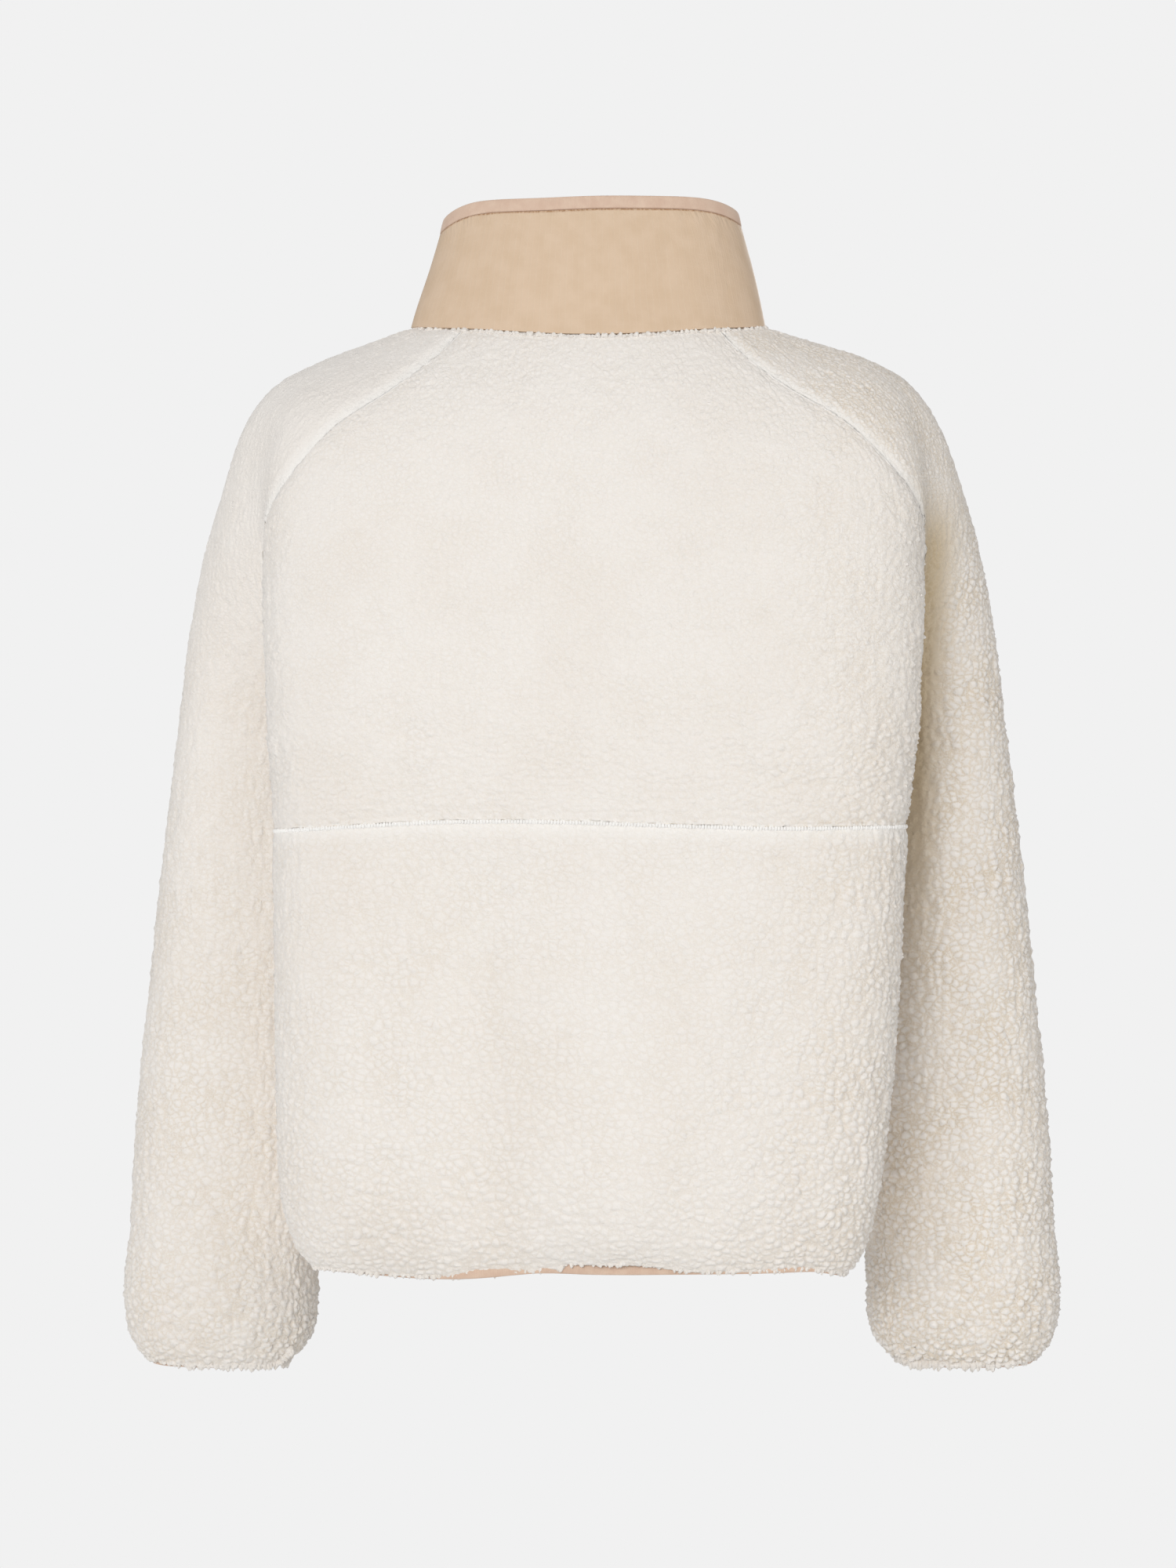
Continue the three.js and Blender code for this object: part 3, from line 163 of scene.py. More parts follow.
def copy_of(node, name):
    """A new piece with the mesh of a CAD node, its loose triangles merged."""
    piece = bpy.data.objects.new(name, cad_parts[node].data.copy())
    bpy.context.scene.collection.objects.link(piece)
    piece.data.materials.clear()
    use(piece)
    bpy.ops.object.mode_set(mode="EDIT")
    bpy.ops.mesh.select_all(action="SELECT")
    bpy.ops.mesh.remove_doubles(threshold=0.01 * MM)
    bpy.ops.mesh.customdata_custom_splitnormals_clear()
    bpy.ops.object.mode_set(mode="OBJECT")
    return piece


def crease_rims(piece):
    """Creases the sharp edges all round a wall and makes quads of its triangles."""
    use(piece)
    bpy.ops.object.mode_set(mode="EDIT")
    bpy.ops.mesh.select_mode(type="EDGE")
    bpy.ops.mesh.select_all(action="DESELECT")
    bpy.ops.mesh.edges_select_sharp(sharpness=SHARP)
    bpy.ops.mesh.mark_seam()
    bpy.ops.transform.edge_crease(value=1)
    bpy.ops.mesh.select_mode(type="FACE")
    bpy.ops.mesh.select_all(action="SELECT")
    bpy.ops.mesh.tris_convert_to_quads(
        face_threshold=math.radians(70), shape_threshold=math.pi, seam=True
    )
    bpy.ops.object.mode_set(mode="OBJECT")


def faces_by_side(piece):
    """Splits a wall's faces at its marked edges and returns the regions, largest first."""
    mesh = bmesh.new()
    mesh.from_mesh(piece.data)
    seen = set()
    regions = []
    for start in mesh.faces:
        if start.index in seen:
            continue
        region, waiting = [], [start]
        seen.add(start.index)
        while waiting:
            face = waiting.pop()
            region.append(face)
            for edge in face.edges:
                if edge.seam:
                    continue
                for other in edge.link_faces:
                    if other.index not in seen:
                        seen.add(other.index)
                        waiting.append(other)
        regions.append((sum(face.calc_area() for face in region), [f.index for f in region]))
    mesh.free()
    return [faces for _, faces in sorted(regions, reverse=True)]


def paint_sides(piece, outside, inside):
    """Gives the outer face, the larger of the two, one finish, and all the rest another."""
    piece.data.materials.append(outside)
    piece.data.materials.append(inside)
    outer = set(faces_by_side(piece)[0])
    for face in piece.data.polygons:
        face.material_index = 0 if face.index in outer else 1
    return len(outer)


def add_modifier(piece, kind, **settings):
    """Adds a modifier, sets it up and applies it."""
    use(piece)
    bpy.ops.object.modifier_add(type=kind)
    modifier = piece.modifiers[-1]
    for key, value in settings.items():
        setattr(modifier, key, value)
    bpy.ops.object.modifier_apply(modifier=modifier.name)


def round_edges(piece, width):
    """Rounds the sharp edges all round a piece."""
    settings = {"width": width, "segments": 2, "use_clamp_overlap": True}
    add_modifier(piece, "BEVEL", limit_method="ANGLE", angle_limit=math.radians(40), **settings)


def divide_outside(piece, cuts):
    """Divides the outer faces alone, where the pile needs points to move."""
    use(piece)
    bpy.ops.object.mode_set(mode="EDIT")
    bpy.ops.mesh.select_mode(type="FACE")
    bpy.ops.mesh.select_all(action="DESELECT")
    bpy.ops.object.mode_set(mode="OBJECT")
    for face in piece.data.polygons:
        face.select = face.material_index == 0
    bpy.ops.object.mode_set(mode="EDIT")
    bpy.ops.mesh.subdivide(number_cuts=cuts, ngon=True)
    bpy.ops.object.mode_set(mode="OBJECT")


def triangles(piece):
    return sum(len(face.vertices) - 2 for face in piece.data.polygons)


# %% Measure how far each point is from its neighbours' seams
trees = {}


def surface_tree(piece):
    """A tree of a piece's faces, which finds the nearest place on them."""
    mesh = bmesh.new()
    mesh.from_mesh(piece.data)
    tree = BVHTree.FromBMesh(mesh)
    mesh.free()
    return tree


def tree_of(node):
    if node not in trees:
        trees[node] = surface_tree(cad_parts[node])
    return trees[node]


def store(piece, name, values):
    """Keeps one number for each point of a piece, under a name that materials can read."""
    layer = piece.data.attributes.new(name, "FLOAT", "POINT")
    layer.data.foreach_set("value", np.asarray(values, dtype=np.float32))


FAR = 60 * MM


def store_gaps(piece, name, neighbours):
    """Stores each point's distance from the nearest of some neighbouring solids."""
    gaps = []
    for vertex in piece.data.vertices:
        gap = FAR
        for node in neighbours:
            gap = tree_of(node).find_nearest(vertex.co, gap)[3] or gap
        gaps.append(gap)
    store(piece, name, gaps)


print("helpers for walls are ready")

# %% [markdown]
# ## Sherpa pile, as nodes
# One node pattern serves twice: geometry nodes use its height to push points out, and the
# material uses the same height for the painted shade in the cracks and a fine bump. Both
# read the rest position of each point, stored before it moves, so that the two always line
# up. The bobbles are Voronoi cells whose borders are bent by noise. Shoulders are smoother
# and finer, the lower half is coarser, and a slow noise lets some cracks close up.

# %% The bobbles' pattern
FINE_BOBBLE = 3.4 * MM
COARSE_BOBBLE = 5.4 * MM
BOBBLES = (FINE_BOBBLE, COARSE_BOBBLE)
SQUASH = (1.0, 1.0, 1.3)  # the bobbles hang a little flat, wider than they are tall
BEND = 2.6 * MM  # how far noise bends the borders of the bobbles


def maths(tree, operation, *values, clamp=False):
    inputs = dict(enumerate(values))
    return add_node(tree, "ShaderNodeMath", inputs, operation=operation, use_clamp=clamp).outputs[0]


def vector_maths(tree, operation, *values, scale=None):
    inputs = dict(enumerate(values))
    if scale is not None:
        inputs["Scale"] = scale
    return add_node(tree, "ShaderNodeVectorMath", inputs, operation=operation).outputs[0]


def soft_step(tree, value, low, high, kind="SMOOTHSTEP"):
    """Goes from 0 to 1 as a value goes from low to high."""
    inputs = {"Value": value, "From Min": low, "From Max": high}
    return add_node(
        tree, "ShaderNodeMapRange", inputs, interpolation_type=kind
    ).outputs["Result"]


def noise(tree, place, size, detail=2.0, output="Fac"):
    """Noise with features of about the given size."""
    inputs = {"Vector": place, "Scale": 1 / size, "Detail": detail}
    return add_node(tree, "ShaderNodeTexNoise", inputs).outputs[output]


def bent(tree, place):
    """A place, moved a little by coarse and fine noise, in the space the bobbles fill."""
    for size, reach in ((16 * MM, BEND), (5 * MM, BEND / 2.6), (2.2 * MM, BEND / 6)):
        colour = noise(tree, place, size, 1.0, "Color")
        centred = vector_maths(tree, "SUBTRACT", colour, (0.5, 0.5, 0.5))
        shift = vector_maths(tree, "SCALE", centred, scale=2 * reach)
        place = vector_maths(tree, "ADD", place, shift)
    return vector_maths(tree, "MULTIPLY", place, SQUASH)


def voronoi(tree, place, size, feature):
    inputs = {"Vector": place, "Scale": 1 / size, "Randomness": 0.9}
    return add_node(tree, "ShaderNodeTexVoronoi", inputs, feature=feature).outputs["Distance"]


def domes(tree, place, size):
    """Cushioned heads, 1 on their tops, with a soft groove wherever two of them meet."""
    away = maths(tree, "DIVIDE", voronoi(tree, place, size, "F1"), 0.8, clamp=True)
    ball = maths(tree, "SUBTRACT", 1.0, maths(tree, "MULTIPLY", away, away))
    groove = soft_step(tree, voronoi(tree, place, size, "DISTANCE_TO_EDGE"), 0.0, 0.4)
    return maths(tree, "MULTIPLY_ADD", groove, 0.5, maths(tree, "MULTIPLY", ball, 0.5))


def creases(tree, place, size, width):
    """1 in the grooves between the same heads, fading out over a width, and 0 on them."""
    side = soft_step(tree, voronoi(tree, place, size, "DISTANCE_TO_EDGE"), 0.0, width)
    return maths(tree, "SUBTRACT", 1.0, side)


def by_size(tree, pattern, coarse, *values):
    """One pattern at the fine and the coarse size, mixed by place."""
    fine, large = (pattern(tree, values[0], size, *values[1:]) for size in BOBBLES)
    blend = add_node(tree, "ShaderNodeMix", {"Factor": coarse, "A": fine, "B": large})
    return blend.outputs["Result"]


def openness(tree, place):
    """How far the gaps between the bobbles are open, by a slow noise."""
    return soft_step(tree, noise(tree, place, 34 * MM, 2.0), 0.32, 0.68)


print("fine bobbles", FINE_BOBBLE / MM, "mm, coarse", COARSE_BOBBLE / MM, "mm")

# %% [markdown]
# The pile geometry nodes keep each point's rest place, then move the points of the outer
# face along their normals. The pile sinks towards a seam, where the stitching pulls it
# down, but hangs full over the bound edges. Near a seam it also laps unevenly over the
# neighbour, so that the join isn't a ruled line.

# %% Geometry nodes that raise the pile
PILE_RISE = 2.6 * MM  # from the bottom of a crack to the top of a bobble
PILE_LIFT = 0.9 * MM  # how far the tops stand above the smoothed wall
SEAM_REACH = 10 * MM
LOCK_SIZE, LOCK_RISE = 8 * MM, 1.5 * MM  # locks of a few bobbles each
TIP_SIZE, TIP_RISE = 2.8 * MM, 3.0 * MM  # loose ends of the curls, which roughen the outline
LAP_SIZE, LAP_REACH = 6 * MM, 3.0 * MM  # how unevenly an edge laps over its neighbour
LAP_BAND = 5 * MM


def named(tree, name, kind="FLOAT"):
    return add_node(
        tree, "GeometryNodeInputNamedAttribute", {"Name": name}, data_type=kind
    ).outputs["Attribute"]


def pile_nodes():
    tree = bpy.data.node_groups.new("raise_pile", "GeometryNodeTree")
    tree.interface.new_socket("Geometry", in_out="INPUT", socket_type="NodeSocketGeometry")
    tree.interface.new_socket("Geometry", in_out="OUTPUT", socket_type="NodeSocketGeometry")
    start = add_node(tree, "NodeGroupInput")
    rest = add_node(tree, "GeometryNodeInputPosition").outputs[0]
    keep = add_node(
        tree,
        "GeometryNodeStoreNamedAttribute",
        {"Geometry": start.outputs[0], "Name": "rest", "Value": rest},
        data_type="FLOAT_VECTOR",
        domain="POINT",
    )
    place = named(tree, "rest", "FLOAT_VECTOR")
    crown = by_size(tree, domes, named(tree, "coarse"), bent(tree, place))
    closed = maths(tree, "SUBTRACT", 1.0, crown)
    depth = maths(tree, "MULTIPLY_ADD", openness(tree, place), 0.35, 0.65)
    depth = maths(tree, "MULTIPLY", depth, named(tree, "relief"))
    crack = maths(tree, "MULTIPLY", maths(tree, "MULTIPLY", closed, depth), -PILE_RISE)
    near = maths(tree, "SUBTRACT", 1.0, soft_step(tree, named(tree, "seam"), 0.0, SEAM_REACH))
    clump = maths(tree, "SUBTRACT", noise(tree, place, 22 * MM, 2.0), 0.5)
    swell = maths(tree, "MULTIPLY_ADD", clump, 1.2 * MM, PILE_LIFT)
    away = maths(tree, "SUBTRACT", 1.0, near)
    full = maths(tree, "MULTIPLY_ADD", named(tree, "full"), away, swell)
    height = maths(tree, "ADD", crack, full)
    height = maths(tree, "SUBTRACT", height, maths(tree, "MULTIPLY", near, named(tree, "dip")))
    free = maths(tree, "MULTIPLY_ADD", near, -0.5, 1.0)
    free = maths(tree, "MULTIPLY", free, named(tree, "shag"))
    for size, rise in ((LOCK_SIZE, LOCK_RISE), (TIP_SIZE, TIP_RISE)):
        loose = maths(tree, "SUBTRACT", noise(tree, place, size, 1.0), 0.5)
        loose = maths(tree, "MULTIPLY", loose, free)
        height = maths(tree, "MULTIPLY_ADD", loose, rise, height)
    move = vector_maths(tree, "SCALE", named(tree, "out", "FLOAT_VECTOR"), scale=height)
    uneven = maths(tree, "SUBTRACT", noise(tree, place, LAP_SIZE, 2.0), 0.36, clamp=True)
    reach = maths(tree, "MULTIPLY", uneven, LAP_REACH)
    lap = vector_maths(tree, "SCALE", named(tree, "lap", "FLOAT_VECTOR"), scale=reach)
    move = vector_maths(tree, "ADD", move, lap)
    moved = add_node(
        tree, "GeometryNodeSetPosition", {"Geometry": keep.outputs[0], "Offset": move}
    )
    add_node(tree, "NodeGroupOutput", {0: moved.outputs[0]})
    return tree


raise_pile = pile_nodes()
print("pile nodes", len(raise_pile.nodes))

# %% [markdown]
# ## Sherpa, as a material
# The cracks between the bobbles are painted a warm straw colour, a little warmer than the
# base. This is painted shade: it stands for the shade that falls in them, which the bump
# alone does not make, and it is stronger towards the wearer's right, the side in shade. A
# painted shadow of the body also darkens the right sleeve beside it. The base is off-white,
# rougher than any woven cloth, with a sheen for the loose fibre ends. Where a seam holds
# the pile down, a smooth whiter band shows.

# %% Sherpa pile and its knitted ground
PILE_TIP = "#f8f4f0"
PILE_SIDE = "#f6f1ec"
# Painted shade in the cracks between the bobbles.
PILE_CRACK_SHADE = "#dbcbb3"
# Painted shadow that the body casts on the right sleeve beside it.
PILE_BODY_SHADOW = "#cbb795"
BAND_WHITE = "#fdfbf8"


def colour_mix(tree, factor, first, second):
    pair = [linear(c) if isinstance(c, str) else c for c in (first, second)]
    inputs = {0: factor, 6: pair[0], 7: pair[1]}
    return add_node(tree, "ShaderNodeMix", inputs, data_type="RGBA").outputs[2]


def painted(tree, name, output="Fac"):
    """An attribute of the piece, as the material sees it."""
    return add_node(tree, "ShaderNodeAttribute", attribute_name=name).outputs[output]


def bumped(tree, height, strength, rise, **more):
    """A normal, roughened by a height pattern: how strongly, and how far it stands out."""
    inputs = {"Strength": strength, "Distance": rise, "Height": height, **more}
    return add_node(tree, "ShaderNodeBump", inputs).outputs[0]


def finish_material(tree, colour, normal, **principled):
    inputs = {"Base Color": colour, "Normal": normal}
    shader = add_node(tree, "ShaderNodeBsdfPrincipled", inputs)
    for key, value in principled.items():
        shader.inputs[key.replace("_", " ").title().replace("Ior", "IOR")].default_value = value
    add_node(tree, "ShaderNodeOutputMaterial", {"Surface": shader.outputs[0]})
    return shader


def sherpa_pile():
    material, tree = new_material("sherpa pile of brushed polyester")
    place = painted(tree, "rest", "Vector")
    coarse, lumps = painted(tree, "coarse"), painted(tree, "relief")
    moved = bent(tree, place)
    crown = by_size(tree, domes, coarse, moved)
    lines = by_size(tree, creases, coarse, moved, 0.26)
    band = maths(tree, "MULTIPLY", painted(tree, "band"), 0.85)
    open_share = maths(tree, "MULTIPLY_ADD", openness(tree, place), 0.35, 0.65)
    depth = maths(tree, "MULTIPLY", open_share, lumps)
    # Painted shade along the cracks, stronger where they are open.
    crack = maths(tree, "MULTIPLY", lines, painted(tree, "crack_shade"))
    crack = maths(tree, "MULTIPLY", crack, maths(tree, "MULTIPLY", open_share, 0.8), clamp=True)
    patch = noise(tree, place, 70 * MM, 3.0)
    body = colour_mix(tree, soft_step(tree, patch, 0.35, 0.75), PILE_TIP, PILE_SIDE)
    # Painted shadow of the body on the right sleeve, beside the body's edge.
    body = colour_mix(tree, painted(tree, "body_shadow"), body, PILE_BODY_SHADOW)
    fibres = noise(tree, place, 1.0 * MM, 3.0)
    crack = maths(tree, "MULTIPLY", crack, soft_step(tree, fibres, 0.2, 0.6))
    cracked = colour_mix(tree, crack, body, PILE_CRACK_SHADE)
    colour = colour_mix(tree, band, cracked, BAND_WHITE)
    curls = noise(tree, moved, 2.2 * MM, 2.0)
    high = maths(tree, "MULTIPLY", crown, maths(tree, "MULTIPLY_ADD", depth, 0.6, 0.4))
    high = maths(tree, "MULTIPLY_ADD", fibres, 0.8, high)
    high = maths(tree, "MULTIPLY_ADD", curls, 0.6, high)
    bump = bumped(tree, high, 0.6, 1.0 * MM)
    finish_material(
        tree,
        colour,
        bump,
        roughness=0.95,
        sheen_weight=0.4,
        sheen_roughness=0.5,
        specular_ior_level=0.15,
    )
    return material


def knitted_ground():
    material, tree = new_material("knitted polyester ground")
    place = add_node(tree, "ShaderNodeTexCoord").outputs["Object"]
    stitch = add_node(
        tree, "ShaderNodeTexWave", {"Vector": place, "Scale": 1 / (14 * MM), "Distortion": 2.0}
    )
    height = maths(tree, "ADD", stitch.outputs["Fac"], noise(tree, place, 1.2 * MM))
    bump = bumped(tree, height, 0.5, 0.3 * MM)
    colour = colour_mix(tree, noise(tree, place, 30 * MM), "#efe7dc", "#e3d8c8")
    finish_material(tree, colour, bump, roughness=0.9, sheen_weight=0.1)
    return material


pile = sherpa_pile()
ground = knitted_ground()
print("sherpa nodes", len(pile.node_tree.nodes))

# %% [markdown]
# ## Dress the six fleece panels
# Each panel knows how its outer face is divided, which solids it is sewn to, and the seam
# beside which it shows a white band. The coarseness and relief of the pile grow down the
# jacket and towards the wearer's right, as worn fleece does. The panels are all smoothed
# first, because each one then measures how far its points are from its neighbours.

# %% What the panels are
UPPER_SEAMS = ("back_lower", "sleeve_left", "sleeve_right", "collar")
LOWER_SEAMS = ("back_upper", "front_left", "front_right")
LEFT_SEAMS = ("back_upper", "back_lower", "sleeve_left", "collar")
RIGHT_SEAMS = ("back_upper", "back_lower", "sleeve_right", "collar")
SLEEVE_SEAMS = ("back_upper", "front_left", "front_right", "collar")
PANELS = [
    # node, cuts, sewn to, beside the white band, the band's width, how much thicker its pile
    # is than the wall (mm), how strong its painted crack shade is at the neck and at the hem
    ("back_upper", 3, UPPER_SEAMS, None, 0, 0, 0.25, 0.35),
    ("back_lower", 4, LOWER_SEAMS, "back_upper", 7, 0, 0.25, 0.45),
    ("front_left", 2, LEFT_SEAMS, None, 0, 0, 0.2, 0.4),
    ("front_right", 2, RIGHT_SEAMS, None, 0, 0, 0.2, 0.4),
    ("sleeve_left", 0, SLEEVE_SEAMS, "back_upper", 9, 0.3, 0.1, 0.65),
    # The right sleeve, on the side in shade, carries far more painted crack shade at the top.
    ("sleeve_right", 0, SLEEVE_SEAMS, "back_upper", 9, 0.3, 0.75, 0.7),
]
SLEEVE_CUTS = 6  # a sleeve is divided from level 1, then laid on a level 3 surface
GAP = 0.6 * MM  # neighbours this close are sewn to each other
OVER_DIP = 1.2 * MM  # how far the pile sinks at a seam, on the side that laps over
UNDER_DIP = 1.5 * MM  # and on the side that is tucked under
TUCK = 1.6 * MM  # how far an edge goes under the one that laps over it
MEET = 0.47  # how much of the gap the other edges close, each from its own side


def smooth(low, high, value):
    share = min(max((value - low) / (high - low), 0), 1)
    return share * share * (3 - 2 * share)


def hump(value, middle, spread):
    """1 at the middle, and less on both sides of it."""
    return math.exp(-(((value - middle) / spread) ** 2))


def at_back(place):
    """0 on the front half and 1 on the back, with a slow change along the sides."""
    return smooth(-40 * MM, 20 * MM, place.y)


def coarseness(place):
    down = smooth(-20 * MM, 560 * MM, -place.z)
    arm = smooth(0.205, 0.235, -place.x) * smooth(-100 * MM, -160 * MM, place.z)
    return min(max(0.1 + 0.75 * down + 0.2 * smooth(-0.25, 0.25, -place.x) + 0.6 * arm, 0), 1)


def calm(place):
    """How smooth the pile lies low on the middle of the back, where it has been brushed down."""
    return hump(place.x, -30 * MM, 85 * MM) * smooth(250 * MM, 420 * MM, -place.z)


def relief(place):
    down = smooth(0, 480 * MM, -place.z)
    rise = min(0.35 + 0.35 * down + 0.4 * smooth(-0.05, 0.25, -place.x), 1.1)
    return rise * (1 - 0.5 * calm(place))


def body_shadow(node, place):
    """The painted shadow that the body casts on the right sleeve, as a darker straw colour beside
    the body's edge.
    """
    if node != "sleeve_right":
        return 0
    body_edge = 216 * MM + 0.055 * place.z
    beside = smooth(body_edge + 30 * MM, body_edge + 6 * MM, -place.x)
    level = smooth(-90 * MM, -140 * MM, place.z) * smooth(-480 * MM, -240 * MM, place.z)
    return beside * level * smooth(-75 * MM, -50 * MM, place.y)


SHOULDERS = {
    # side: height and spread of its crest, spread and rise of the wider swell round it
    1: (-45 * MM, 33 * MM, 35 * MM, 2.2 * MM),
    -1: (-38 * MM, 36 * MM, 62 * MM, 4.5 * MM),
}
CREST_RISE = 6.5 * MM
SWELL_HEIGHT = -55 * MM


def shoulder_fill(place):
    """The shoulders' pile stands fuller than their wall, up and outwards."""
    side = 1 if place.x > 0 else -1
    height, spread, wide, rise = SHOULDERS[side]
    level = hump(place.z, height, spread)
    amount = CREST_RISE * level * smooth(125 * MM, 195 * MM, abs(place.x))
    level = hump(place.z, SWELL_HEIGHT, wide)
    amount += rise * level * smooth(110 * MM, 165 * MM, abs(place.x))
    return Vector((side * 0.72, 0, 0.69)) * amount


SLEEVE_REACH = {1: 2.6 * MM, -1: 4.8 * MM}  # how far each sleeve stands off its wall
CUFF_SPREAD = 3.0 * MM  # how much further the outer sides of the cuffs stand out
CUFF_CORNER = 3.2 * MM  # how far the inner corners of the cuffs are drawn in
HEM_LEVEL = -590 * MM
HEM_COVER, HEM_BARE = 6.5, 5.4  # mm of pile over the binding, and how much less where bare
SAG_LEFT, SAG_CORNER = 1.6 * MM, 6.0 * MM
HEM_FOLDS = [
    # middle, lean, spread and rise of a fold at the hem, and how much of it reaches the top
    (66 * MM, 0, 26 * MM, -4.5 * MM, 0.6),
    (-12 * MM, 4, 20 * MM, 3.5 * MM, 0.15),
    (160 * MM, 0, 22 * MM, 2.5 * MM, 0.5),
    (-120 * MM, 0, 30 * MM, -2.5 * MM, 0.3),
]
TUCKED_FOLD = 3 * MM  # a short sharp one at the hem, beside the middle


def bare(place):
    """How much of the hem's binding shows: most along the middle of the back."""
    return smooth(26 * MM, 10 * MM, place.x) * smooth(-72 * MM, -22 * MM, place.x)


def hem_sag(place):
    """The back's hem hangs lower left of the middle, and at its right-hand corner."""
    left = SAG_LEFT * hump(place.x, 70 * MM, 38 * MM)
    corner = SAG_CORNER * smooth(-135 * MM, -168 * MM, place.x)
    low = smooth(-530 * MM, -585 * MM, place.z) * at_back(place)
    return (left + corner) * low


def hang(node, place):
    """How a panel hangs a little off its wall: sleeves outwards, and folds in the lower back."""
    if node.startswith("sleeve"):
        side = 1 if place.x > 0 else -1
        low = smooth(-570 * MM, -615 * MM, place.z)
        reach = SLEEVE_REACH[side] + CUFF_SPREAD * low * smooth(230 * MM, 270 * MM, abs(place.x))
        corner = hump(place.z, -640 * MM, 24 * MM)
        reach -= CUFF_CORNER * corner * smooth(222 * MM, 198 * MM, abs(place.x))
        loose = max(
            smooth(205 * MM, 250 * MM, abs(place.x)), smooth(-230 * MM, -330 * MM, place.z)
        )
        return Vector((side * reach * loose, 0, 0))
    if node == "back_upper":
        level = smooth(-135 * MM, -180 * MM, place.z) * smooth(-320 * MM, -250 * MM, place.z)
        edge = hump(place.y, 50 * MM, 20 * MM) * smooth(0.17, 0.2, abs(place.x))
        reach = -3.2 * MM if place.x < 0 else 1.2 * MM
        return Vector((reach * level * edge, 0, 0))
    if node != "back_lower":
        return Vector()
    low = smooth(-320 * MM, -480 * MM, place.z)
    above = (place.z - HEM_LEVEL) * 0.1
    depth = sum(
        rise * (top + (1 - top) * low) * hump(place.x, middle - lean * above, spread)
        for middle, lean, spread, rise, top in HEM_FOLDS
    )
    tuck = smooth(45 * MM, 0, abs(place.z - HEM_LEVEL))
    depth -= TUCKED_FOLD * tuck * hump(place.x, 27 * MM, 6 * MM)
    depth *= smooth(-315 * MM, -345 * MM, place.z) * smooth(0, 60 * MM, place.y)
    cover = (HEM_COVER - HEM_BARE * bare(place)) * MM
    drop = cover * smooth(-545 * MM, -588 * MM, place.z)
    return Vector((0, depth, -drop * at_back(place) - hem_sag(place)))


NECK_DIP = 5.2 * MM
NECK_HALF = 112 * MM  # from the middle to where the dip ends


def neck_drop(place):
    """At the back of the neck the collar's seam dips below its level at the sides."""
    middle = max(1 - (place.x / NECK_HALF) ** 2, 0)
    near = smooth(-60 * MM, -5 * MM, place.z) * smooth(45 * MM, 12 * MM, place.z)
    return Vector((0, 0, -NECK_DIP * middle * near * smooth(-10 * MM, 40 * MM, place.y)))


def shag(node, place):
    """How far loose curls stand up: little on the shoulders, most at the sides and cuffs."""
    down = smooth(20 * MM, 320 * MM, -place.z)
    if node.startswith("sleeve"):
        return 0.35 + 0.75 * down + 0.4 * smooth(560 * MM, 640 * MM, -place.z)
    return 0.4 + 0.2 * down + 0.7 * smooth(175 * MM, 200 * MM, abs(place.x))


print("panels", [row[0] for row in PANELS])

# %% Smooth the panels
def outward(mesh):
    """Each point's normal, from the outer faces alone. It is zero off the outer face."""
    total = np.zeros((len(mesh.vertices), 3))
    for face in mesh.polygons:
        if face.material_index == 0:
            total[list(face.vertices)] += np.array(face.normal) * face.area
    return total / np.maximum(np.linalg.norm(total, axis=1, keepdims=True), 1e-12)


def store_places(piece, name, values):
    """Keeps one vector for each point of a piece."""
    layer = piece.data.attributes.new(name, "FLOAT_VECTOR", "POINT")
    layer.data.foreach_set("vector", np.asarray(values, dtype=np.float32).ravel())


def smooth_panel(node):
    piece = copy_of(node, f"fleece_{node}")
    crease_rims(piece)
    paint_sides(piece, pile, ground)
    if not node.startswith("sleeve"):
        add_modifier(piece, "SUBSURF", levels=2, render_levels=2)
        return piece
    form = piece.copy()
    form.data = piece.data.copy()
    bpy.context.scene.collection.objects.link(form)
    add_modifier(form, "SUBSURF", levels=3, render_levels=3)
    add_modifier(piece, "SUBSURF", levels=1, render_levels=1)
    divide_outside(piece, SLEEVE_CUTS)
    add_modifier(piece, "SHRINKWRAP", target=form)
    bpy.data.objects.remove(form)
    return piece


fleece = {}
for node, *_ in PANELS:
    fleece[node] = smooth_panel(node)
    trees[node] = surface_tree(fleece[node])
print("smoothed", {node: len(piece.data.vertices) for node, piece in fleece.items()})

# %% Raise the pile
rims = {}  # the smoothed edges of each panel, kept for the stitches and the tufts


def close_gaps(piece, neighbours, tucked_under):
    """Moves a seam's points half-way to the neighbour, or under one that laps over them."""
    moved = 0
    for vertex in piece.data.vertices:
        for node in neighbours:
            place = trees[node].find_nearest(vertex.co, GAP)[0]
            if place is not None:
                across = (place - vertex.co).normalized()
                under = node in tucked_under
                vertex.co = place + across * TUCK if under else vertex.co.lerp(place, MEET)
                moved += 1
                break
    return moved


def laps(piece, neighbours):
    """For each point near a seam, the way to the neighbour that its pile laps over."""
    ways = []
    for vertex in piece.data.vertices:
        way = Vector()
        for node in neighbours:
            place, _, _, gap = trees[node].find_nearest(vertex.co, LAP_BAND)
            if place is not None and gap > 1e-6:
                way = (place - vertex.co).normalized() * smooth(LAP_BAND, 0, gap)
                break
        ways.append(way)
    return ways


